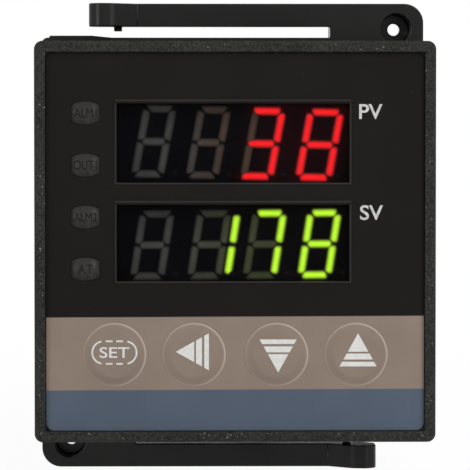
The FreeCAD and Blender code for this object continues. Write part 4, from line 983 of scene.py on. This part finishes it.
@dataclass
class Key:
    """One embossed key of the film, with its symbol, switch and plunger."""

    name: str
    symbol: Symbol
    place: tuple[float, float]
    slope: float = 1.3  # width of the slope round the crown
    slope_rows: int = 17
    columns: int = 96
    overlap: float = 0.085  # how far the cap reaches over its hole's edge
    skin_depth: float = 0.12  # from the film's face back to the slope's foot
    edge_in: float = 0.1  # from the rim in to the middle of the pale edge, partly whitened and partly a painted highlight
    edge_width: float = 0.12
    highlight_side: float = 35.0  # degrees round from the right to where the painted highlight is brightest
    # how far the edge is lightened, partly as whitening of the stretched film and partly as a
    # painted highlight
    whitening_and_highlight_share: float = 0.55
    ink_depth: float = 0.03
    arrow_length: float = 3.96
    arrow_base: float = 4.45
    # Each piece of an arrow, as shares of its length from the tip.
    arrow_cuts: tuple[tuple[float, float], ...] = ((0.0, 0.555), (0.61, 0.79), (0.86, 1.0))
    capsule: tuple[float, float] = (5.3, 2.7)
    dash: tuple[float, float] = (0.22, 1.02)  # from the middle out to its two ends
    arc_end: float = 1.38  # radians from level to the arc's end
    arc_points: int = 25
    line: float = 0.2
    word: tuple[float, float] = (3.55, 1.3)
    word_weight: float = 0.008

    def cap(self, span: Span) -> bpy.types.Object:
        """The embossed disc, turned about its axis: from the middle of the crown out to the
        slope, down it by a smooth step, and straight back to the underside. Its shade is a pale
        edge, partly whitening of the stretched film and partly a painted highlight, which falls off
        by exp(-distance squared) and is strongest on the side that faces the light.

        Args:
            span: the box of the key's node.

        Returns:
            The piece.
        """
        radius, front, back = span.size[0] / 2 + self.overlap, span.low[1], span.high[1]
        skin = Span.of("front_overlay").low[1] + self.skin_depth
        share = np.linspace(0, 1, self.slope_rows)
        step = share * share * (3 - 2 * share)
        reach = np.concatenate([[0, radius / 2], radius - self.slope * (1 - share), [radius, 0]])
        depth = np.concatenate([[front, front], front + (skin - front) * step, [back, back]])
        around = np.linspace(0, 2 * math.pi, self.columns, endpoint=False)
        x, z = reach[:, None] * np.cos(around), reach[:, None] * np.sin(around)
        grid = np.stack([span.centre[0] + x, np.broadcast_to(depth[:, None], x.shape),
                         span.centre[2] + z], axis=-1)
        whitening_and_highlight_ring = np.exp(-((reach - radius + self.edge_in) / self.edge_width) ** 2)
        whitening_and_highlight_ring *= depth < skin + 0.01
        # painted highlight: the pale edge is brighter on the side that faces the light
        uneven = 0.55 + 0.45 * np.cos(around - math.radians(self.highlight_side))
        work = Patchwork()
        work.add(grid, self.whitening_and_highlight_share * whitening_and_highlight_ring[:, None] * uneven[None, :])
        return work.build(f"{self.name}_key_cap")

    def arrow(self, centre: Array, front: float) -> Patchwork:
        """A triangle cut into three pieces across its axis. Along the axis from its tip, its
        half width is the share of its length times half its base.

        Args:
            centre: x and z of the key's middle.
            front: y of the crown.

        Returns:
            The three pieces.
        """
        turn = {Symbol.LEFT: (-1, 0), Symbol.DOWN: (0, -1), Symbol.UP: (0, 1)}[self.symbol]
        axis, side = np.array(turn, float), np.array([-turn[1], turn[0]], float)
        middle = centre + np.array(self.place)
        work = Patchwork()
        for start, stop in self.arrow_cuts:
            shares = np.array([start, stop, stop, start])
            sides = np.array([1, 1, -1, -1]) * shares * self.arrow_base / 2
            along = (0.5 - shares) * self.arrow_length
            outline = middle + along[:, None] * axis + sides[:, None] * side
            work.add(prism(outline, front - self.ink_depth, front))
        return work

    def capsule_lines(self, centre: Array, front: float) -> Patchwork:
        """The dashed capsule: an arc at each side and two dashes above and below.

        Args:
            centre: x and z of the key's middle.
            front: y of the crown.

        Returns:
            The capsule's lines.
        """
        width, height = self.capsule
        middle = centre + np.array(self.place)
        radius = height / 2
        inner = width / 2 - radius
        work = Patchwork()
        sweep = np.linspace(-self.arc_end, self.arc_end, self.arc_points)
        for sign in (1, -1):
            arc = np.stack([inner + radius * np.cos(sweep), radius * np.sin(sweep)], axis=1)
            work.add(ribbon(middle + arc * [sign, 1], self.line, front - self.ink_depth, front))
            for level in (radius, -radius):
                ends = np.array([[self.dash[0], level], [self.dash[1], level]]) * [sign, 1]
                work.add(ribbon(middle + ends, self.line, front - self.ink_depth, front))
        return work

    def build(self) -> None:
        """Make the key."""
        body = f"{self.name}_key"
        span = Span.of(body)
        front, centre = span.low[1], span.centre[[0, 2]]
        cap = self.cap(span)
        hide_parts(body)
        dress(cap, FILM, body)
        if self.symbol is Symbol.WORD:
            lines = self.capsule_lines(centre, front).build(f"{self.name}_key_outline")
            dress(lines, KEY_INK, body)
            x, z = centre + np.array(self.place)
            width, cap_height = self.word
            text = self.name.upper()
            word = Legend(text, x, z, cap_height, width, self.word_weight, self.ink_depth)
            dress(word.build(f"{self.name}_key_word", front), KEY_INK, body)
        else:
            dress(self.arrow(centre, front).build(f"{self.name}_key_arrow", 20), KEY_INK, body)
        merged_copy(f"{self.name}_key_plunger", ACETAL, body, 0.0)
        paint(f"{self.name}_key_switch", SWITCH_CASE)


# ------------------------------------------------------------------------------------------
# Displays
# ------------------------------------------------------------------------------------------

class Reading(Enum):
    """The figures of each display, from the left."""

    PV = (" ", " ", "3", "8")
    SV = (" ", "1", "7", "8")


LIT_BARS = {" ": "", "1": "bc", "3": "abcdg", "7": "abc", "8": "abcdefg"}


@dataclass(frozen=True)
class BarForm:
    """A bar's form: half its width, how much longer its outer side is than its middle line, for
    the bars named and for the others, and a power, 1 for round ends and less for squarer."""

    half: float
    flares: dict[str, float]
    flare: float
    square: float


LIT_FORM = BarForm(0.64, {"a": 0.08, "d": 0.08}, 0.02, 0.85)
UNLIT_FORM = BarForm(0.62, {"a": 0.3, "d": 0.3, "g": 0.0}, 0.07, 0.7)
DOT_FORM = BarForm(0.42, {}, 0.0, 1.0)


@dataclass
class Readout:
    """A four-figure display behind its smoked pane. The lit figures stand a little off the
    milky ones, each where its own centre says."""

    name: str
    reading: Reading
    lit: LitEpoxy
    unlit: MilkyEpoxy
    face: DisplayFace
    centres: tuple[float, ...]
    lit_centres: tuple[float, ...]
    width: float
    lit_width: float
    height: float
    drop: float  # from the window's middle down to the figures'
    tilt: float  # degrees that the display sits askew
    turn_x: float = 10.1  # where it is turned about
    slant: float = 9.5  # degrees that the figures lean
    inset: float = 0.53  # from a figure's top to its top bar's middle line
    gap: float = 0.02  # from a corner to a bar's end
    bar_lift: float = 0.012
    bar_rise: float = 0.045
    bar_columns: int = 48
    bar_rows: tuple[float, ...] = (0.0, 0.2, 0.4, 0.6, 0.8, 0.92, 1.0)
    dot: tuple[float, float] = (3.2, 0.8)
    dot_length: float = 0.04
    dot_shade: float = 0.25
    apart: float = 0.6  # past this the milky figure shows beside the lit one
    strays: tuple[tuple[float, float], ...] = ((0.16, 2.6), (0.9, 0.62))  # painted stray light: the haze and the halo
    face_margin: float = 0.1
    face_lift: float = 0.005
    face_grid: tuple[int, int] = (170, 66)

    def corner(self, x: float, z: float) -> Array:
        """A point of the display: slanted, so that x grows with z by the tangent of the slant,
        and turned with the whole display about the last figure's middle by the tilt.

        Args:
            x: its x before the slant.
            z: above the figures' middle.

        Returns:
            Its x and z.
        """
        middle = Span.of(f"{self.name}_filter").centre
        lean, turn = math.tan(math.radians(self.slant)), math.radians(self.tilt)
        across = x + lean * z - self.turn_x
        return np.array([
            self.turn_x + across * math.cos(turn) - z * math.sin(turn),
            middle[2] - self.drop + across * math.sin(turn) + z * math.cos(turn),
        ])

    def bars(self, centre: float, width: float) -> dict[str, tuple[Array, Array]]:
        """The ends of each bar's middle line, named as such displays are: a on top, then
        clockwise to f, and g in the middle.

        Args:
            centre: the figure's middle.
            width: from its left bars' middle line to its right bars'.

        Returns:
            For each bar, its two ends.
        """
        wide, high = width / 2, self.height / 2 - self.inset
        ends = {
            "a": (-wide, high, wide, high), "b": (wide, high, wide, 0),
            "c": (wide, 0, wide, -high), "d": (wide, -high, -wide, -high),
            "e": (-wide, -high, -wide, 0), "f": (-wide, 0, -wide, high), "g": (-wide, 0, wide, 0),
        }
        return {
            bar: (self.corner(centre + x0, z0), self.corner(centre + x1, z1))
            for bar, (x0, z0, x1, z1) in ends.items()
        }

    def lit_bars(self) -> list[tuple[str, tuple[Array, Array]]]:
        """Pick the bars that are lit.

        Returns:
            The name and ends of each.
        """
        return [
            (bar, ends) for centre, digit in zip(self.lit_centres, self.reading.value)
            for bar, ends in self.bars(centre, self.lit_width).items() if bar in LIT_BARS[digit]
        ]

    def unlit_bars(self) -> list[tuple[str, tuple[Array, Array]]]:
        """Pick the milky bars that show: those of figures that stand apart from the lit ones,
        and otherwise those that aren't behind a lit bar.

        Returns:
            The name and ends of each.
        """
        return [
            (bar, ends)
            for centre, lit_centre, digit in zip(self.centres, self.lit_centres, self.reading.value)
            for bar, ends in self.bars(centre, self.width).items()
            if bar not in LIT_BARS[digit] or abs(centre - lit_centre) > self.apart
        ]

    def rounded_bar(
        self, ends: tuple[Array, Array], form: BarForm, bar: str = ""
    ) -> tuple[Array, Array]:
        """A pillow from a bar's middle line out to its outline. The outline is the middle line
        shifted by half a width in every direction along a squared circle, |cos| and |sin| to a
        power, its outer side stretched by the flare, and the height is a cosine from the
        middle line to the rim.

        Args:
            ends: the corners that the bar runs between.
            form: its form.
            bar: its name.

        Returns:
            The grid of points, and the shade of each row: 1 at the middle, 0 at the rim.
        """
        start, stop = ends
        along = (stop - start) / np.linalg.norm(stop - start)
        outward = np.array([-along[1], along[0]])
        line = np.linalg.norm(stop - start) / 2 - self.gap - form.half
        around = np.linspace(0, 2 * math.pi, self.bar_columns, endpoint=False)
        cosine, sine = np.cos(around), np.sin(around)
        spine = np.sign(cosine) * line
        rim_across = form.half * np.sign(sine) * np.abs(sine) ** form.square
        rim_along = spine + form.half * np.sign(cosine) * np.abs(cosine) ** form.square
        rim_along = rim_along * (1 + form.flares.get(bar, form.flare) * rim_across / form.half)
        share = np.array(self.bar_rows)[:, None]
        u = spine + share * (rim_along - spine)
        v = share * rim_across
        flat = (start + stop) / 2 + u[..., None] * along + v[..., None] * outward
        rise = self.bar_rise * np.cos(share * math.pi / 2)
        y = Span.of(f"{self.name}_display").low[1] - self.bar_lift - rise
        grid = np.stack([flat[..., 0], np.broadcast_to(y, u.shape), flat[..., 1]], axis=-1)
        return grid, 1 - share

    def stray(self, grid_x: Array, grid_z: Array) -> Array:
        """How much stray light falls on the face: the sum over the lit bars of a share times
        exp(-(distance / reach) squared), once for the haze and once for the halo, at most 1.

        Args:
            grid_x: x of the points.
            grid_z: z of the points.

        Returns:
            Their stray light.
        """
        total = np.zeros_like(grid_x)
        for _, (start, stop) in self.lit_bars():
            way = stop - start
            right, up = grid_x - start[0], grid_z - start[1]
            share = np.clip((right * way[0] + up * way[1]) / (way @ way), 0, 1)
            apart = np.hypot(right - share * way[0], up - share * way[1])
            for most, reach in self.strays:
                total += most * np.exp(-(apart / reach) ** 2)
        return np.clip(total, 0, 1)

    def face_film(self) -> bpy.types.Object:
        """The printed face, a flat grid just in front of the housing that carries the stray
        light.

        Returns:
            The piece.
        """
        span = Span.of(f"{self.name}_display")
        low, high = span.low + self.face_margin, span.high - self.face_margin
        x, z = (np.linspace(low[i], high[i], count) for i, count in zip((0, 2), self.face_grid))
        grid_x, grid_z = np.meshgrid(x, z)
        y = np.full_like(grid_x, span.low[1] - self.face_lift)
        grid = np.stack([grid_x, y, grid_z], axis=-1)
        work = Patchwork()
        work.add(grid, self.stray(grid_x, grid_z), wrap=False)
        piece = work.build(f"{self.name}_face_film")
        if piece.data.polygons[0].normal.y > 0:
            piece.data.flip_normals()
        return piece

    def build(self) -> None:
        """Make the display."""
        lit, unlit = Patchwork(), Patchwork()
        for bar, ends in self.lit_bars():
            lit.add(*self.rounded_bar(ends, LIT_FORM, bar))
        for bar, ends in self.unlit_bars():
            unlit.add(*self.rounded_bar(ends, UNLIT_FORM, bar))
        nudge = np.array([self.gap + DOT_FORM.half + self.dot_length / 2, 0])
        for centre in self.centres:
            dot = self.corner(centre + self.dot[0], self.dot[1] - self.height / 2)
            grid, shade = self.rounded_bar((dot - nudge, dot + nudge), DOT_FORM)
            unlit.add(grid, self.dot_shade * shade)
        for work, state, finish in ((lit, "lit", self.lit), (unlit, "unlit", self.unlit)):
            piece = work.build(f"{self.name}_{state}_bars")
            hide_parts(f"{self.name}_{state}_segments")
            dress(piece, finish, INSTRUMENT)
        dress(self.face_film(), self.face, INSTRUMENT)


# ------------------------------------------------------------------------------------------
# Case, terminals and bracket
# ------------------------------------------------------------------------------------------

@dataclass
class Body:
    """The case, the terminal block with its hardware, and everything inside."""

    case_bevel: float = 0.15
    block_bevel: float = 0.14
    hardware_bevel: float = 0.12
    number_cap: float = 1.7
    number_in: float = 11.6  # from the screws' outer side in to the numbers' middle
    number_weight: float = 0.012
    ink_depth: float = 0.006
    bays: int = 6

    def numbers(self) -> None:
        """A plain number beside each terminal on the block's spine, down the left column and
        then down the right one as seen from behind."""
        screws, block = Span.of("terminal_screws"), Span.of("terminal_block")
        tabs = Span.of("terminal_tabs")
        top, bottom = tabs.high[2], tabs.low[2]
        pitch = (top - bottom) / self.bays
        aside = screws.high[0] - self.number_in
        for column, sign in enumerate((1, -1)):
            for row in range(self.bays):
                number = str(1 + row + column * self.bays)
                z = top - (row + 0.5) * pitch
                cap_height, weight = self.number_cap, self.number_weight
                legend = Legend(number, sign * aside, z, cap_height, None, weight, self.ink_depth)
                dress(legend.build(f"terminal_number_{number}", block.high[1], Side.REAR),
                      WHITE_INK, INSTRUMENT)

    def build(self) -> None:
        """Make the body."""
        merged_copy("case_shell", CASE_ABS, INSTRUMENT, self.case_bevel)
        merged_copy("terminal_block", BLOCK_POLYMER, INSTRUMENT, self.block_bevel)
        merged_copy("terminal_tabs", BRASS, INSTRUMENT, self.hardware_bevel / 2)
        merged_copy("terminal_washers", STEEL, INSTRUMENT, self.hardware_bevel / 2)
        merged_copy("terminal_screws", STEEL, INSTRUMENT, self.hardware_bevel)
        self.numbers()
        for node, finish in NODE_FINISHES.items():
            paint(node, finish)


@dataclass
class Bracket:
    """The sprung mounting bracket."""

    bevel: float = 0.28
    foot_reach: float = 1.7  # how deep the feet are
    curl: float = 0.55  # radius of their upright edges
    curl_steps: int = 6

    def curl_feet(self, mesh: bpy.types.Mesh) -> None:
        """Round the upright edges of the two feet, where each spring arm curls forward.

        Args:
            mesh: the bracket's mesh.
        """
        work = bmesh.new()
        work.from_mesh(mesh)
        bmesh.ops.dissolve_limit(work, angle_limit=0.01, verts=work.verts, edges=work.edges)
        front = (Span.of("mounting_bracket").low[1] + self.foot_reach) * MM
        upright = [
            edge for edge in work.edges
            if max(vert.co.y for vert in edge.verts) < front
            and abs(edge.verts[0].co.z - edge.verts[1].co.z) > 0.99 * edge.calc_length()
        ]
        bmesh.ops.bevel(work, geom=upright, offset=self.curl * MM, segments=self.curl_steps,
                        profile=0.5, affect="EDGES", clamp_overlap=True)
        work.to_mesh(mesh)
        work.free()
        mesh.shade_smooth()
        mesh.set_sharp_from_angle(angle=math.radians(30))

    def build(self) -> None:
        """Make the bracket."""
        piece = merged_copy("mounting_bracket", BRACKET_NYLON, BRACKET, self.bevel)
        self.curl_feet(piece.data)


# ------------------------------------------------------------------------------------------
# Floor, light and camera
# ------------------------------------------------------------------------------------------

@dataclass(frozen=True)
class Lamp:
    """A square soft box that looks at the front."""

    name: str
    place: tuple[float, float, float]
    side: float
    watts: float


@dataclass
class Studio:
    """The pale floor, the soft light and the camera."""

    floor_side: float = 6000.0
    floor_gap: float = 0.1
    shadow_reach: float = 110.0  # from here out to three times as far the shadow fades
    floor_paint: str = "#f4f4f4"
    paleness: float = 0.96
    world_light: float = 0.26
    lamps: tuple[Lamp, ...] = (
        Lamp("key_box", (260.0, -420.0, 420.0), 300.0, 2.2),
        Lamp("fill_box", (-520.0, -480.0, 120.0), 300.0, 1.4),
        Lamp("edge_box", (480.0, -480.0, 40.0), 180.0, 0.5),
        Lamp("rear_box", (200.0, 620.0, 420.0), 420.0, 2.8),
    )
    azimuth: float = -0.9
    elevation: float = 2.1
    distance: float = 400.0
    lens: float = 256.6
    sensor: float = 36.0
    clip_start: float = 10.0
    aim: tuple[float, float] = (-0.0358, 0.8358)  # x and z from the bezel's centre

    @staticmethod
    def seen(tree: Tree) -> Node:
        """Tell the rays that see a surface from those that light the object.

        Args:
            tree: the node tree.

        Returns:
            A node that gives 1 to the camera, to gloss and through glass, and 0 otherwise.
        """
        path = add_node(tree, "LightPath").outputs
        straight = {0: path["Is Camera Ray"], 1: path["Is Transmission Ray"]}
        rays = {0: add_node(tree, "Math", straight, operation="MAXIMUM"), 1: path["Is Glossy Ray"]}
        return add_node(tree, "Math", rays, operation="MAXIMUM")

    def floor(self) -> None:
        """A pale floor just under the object, white to the camera and to gloss and glass, so
        that it ends nowhere, and darker only in the object's shadow."""
        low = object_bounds()[0][2] / MM - self.floor_gap
        half = self.floor_side / 2
        x, z = np.meshgrid([-half, half], [-half, half])
        work = Patchwork()
        work.add(np.stack([x, z, np.full_like(x, low)], axis=-1), wrap=False)
        piece = work.build("floor")
        if piece.data.polygons[0].normal.z < 0:
            piece.data.flip_normals()
        coat = bpy.data.materials.new("pale_floor_paint")
        coat.use_nodes = True
        tree = coat.node_tree
        tree.nodes.clear()
        matt = add_node(tree, "BsdfDiffuse", {"Color": linear(self.floor_paint)})
        bright = add_node(tree, "Emission", {"Strength": 1.0})
        place = add_node(tree, "TexCoord").outputs["Object"]
        away = add_node(tree, "VectorMath", {0: place}, operation="LENGTH")
        near, far = self.shadow_reach * MM, 3 * self.shadow_reach * MM
        fade = {0: away, 1: near, 2: far, 3: self.paleness, 4: 1.0}
        share = add_node(tree, "MapRange", fade, **EASED)
        part = add_node(tree, "Math", {0: self.seen(tree), 1: share}, operation="MULTIPLY")
        both = add_node(tree, "MixShader", {0: part, 1: matt, 2: bright})
        add_node(tree, "OutputMaterial", {"Surface": both})
        piece.data.materials.append(coat)
        piece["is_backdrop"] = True

    def world(self) -> None:
        """Plain white all round: full strength to the camera, gloss and glass, and softer as
        light on the object."""
        world = bpy.data.worlds.new("studio")
        world.use_nodes = True
        tree = world.node_tree
        tree.nodes.clear()
        strength = add_node(tree, "MapRange", {0: self.seen(tree), 3: self.world_light, 4: 1.0})
        back = add_node(tree, "Background", {"Color": linear("#ffffff"), "Strength": strength})
        add_node(tree, "OutputWorld", {"Surface": back})
        bpy.context.scene.world = world

    def light(self) -> None:
        """Square lamps that face the middle of the front."""
        for lamp in self.lamps:
            data = bpy.data.lights.new(lamp.name, "AREA")
            data.size = lamp.side * MM
            data.energy = lamp.watts
            holder = bpy.data.objects.new(lamp.name, data)
            holder.location = Vector(lamp.place) * MM
            holder.rotation_euler = (-holder.location).to_track_quat("-Z", "Y").to_euler()
            bpy.context.scene.collection.objects.link(holder)

    def camera(self) -> None:
        """Stand at an angle and a distance from the bezel's centre, and look a little aside of
        it: each turn is the arc tangent of the aim over the distance."""
        span = Span.of("front_bezel")
        target = Vector((span.centre[0], span.low[1], span.centre[2])) * MM
        turn, rise = math.radians(self.azimuth), math.radians(self.elevation)
        flat = math.cos(rise)
        back = Vector((math.sin(turn) * flat, -math.cos(turn) * flat, math.sin(rise)))
        data = bpy.data.cameras.new("camera")
        data.lens = self.lens
        data.sensor_width = self.sensor
        data.clip_start = self.clip_start * MM
        holder = bpy.data.objects.new("camera", data)
        holder.location = target + back * self.distance * MM
        right, up = (math.atan(aside / self.distance) for aside in self.aim)
        holder.rotation_euler = (math.pi / 2 - rise + up, 0.0, turn - right)
        bpy.context.scene.collection.objects.link(holder)
        bpy.context.scene.camera = holder

    def build(self) -> None:
        """Make the studio."""
        self.floor()
        self.world()
        self.light()
        self.camera()
        bpy.context.scene.view_settings.view_transform = "Standard"


def main() -> None:
    """Build each part of the object in order, then the studio."""
    logging.basicConfig(level=logging.INFO, format="%(name)s: %(message)s")
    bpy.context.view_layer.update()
    Front().build()
    Key("set", Symbol.WORD, (0.0, 0.28)).build()
    Key("shift", Symbol.LEFT, (-0.19, 0.36)).build()
    Key("down", Symbol.DOWN, (0.18, -0.15)).build()
    Key("up", Symbol.UP, (0.24, 0.57)).build()
    Readout(
        "pv", Reading.PV, LIT_RED, PV_UNLIT, RED_FACE, centres=(-9.75, -3.2, 3.35, 9.9),
        lit_centres=(-9.75, -3.2, 3.16, 10.17), width=3.1, lit_width=3.6, height=8.9, drop=0.23,
        tilt=-1.2,
    ).build()
    Readout(
        "sv", Reading.SV, LIT_GREEN, SV_UNLIT, GREEN_FACE, centres=(-9.95, -3.07, 3.6, 10.16),
        lit_centres=(-9.95, -1.96, 3.6, 10.16), width=3.3, lit_width=3.3, height=8.5, drop=0.18,
        tilt=0.4,
    ).build()
    Body().build()
    Bracket().build()
    Studio().build()


if __name__ == "__main__":
    main()
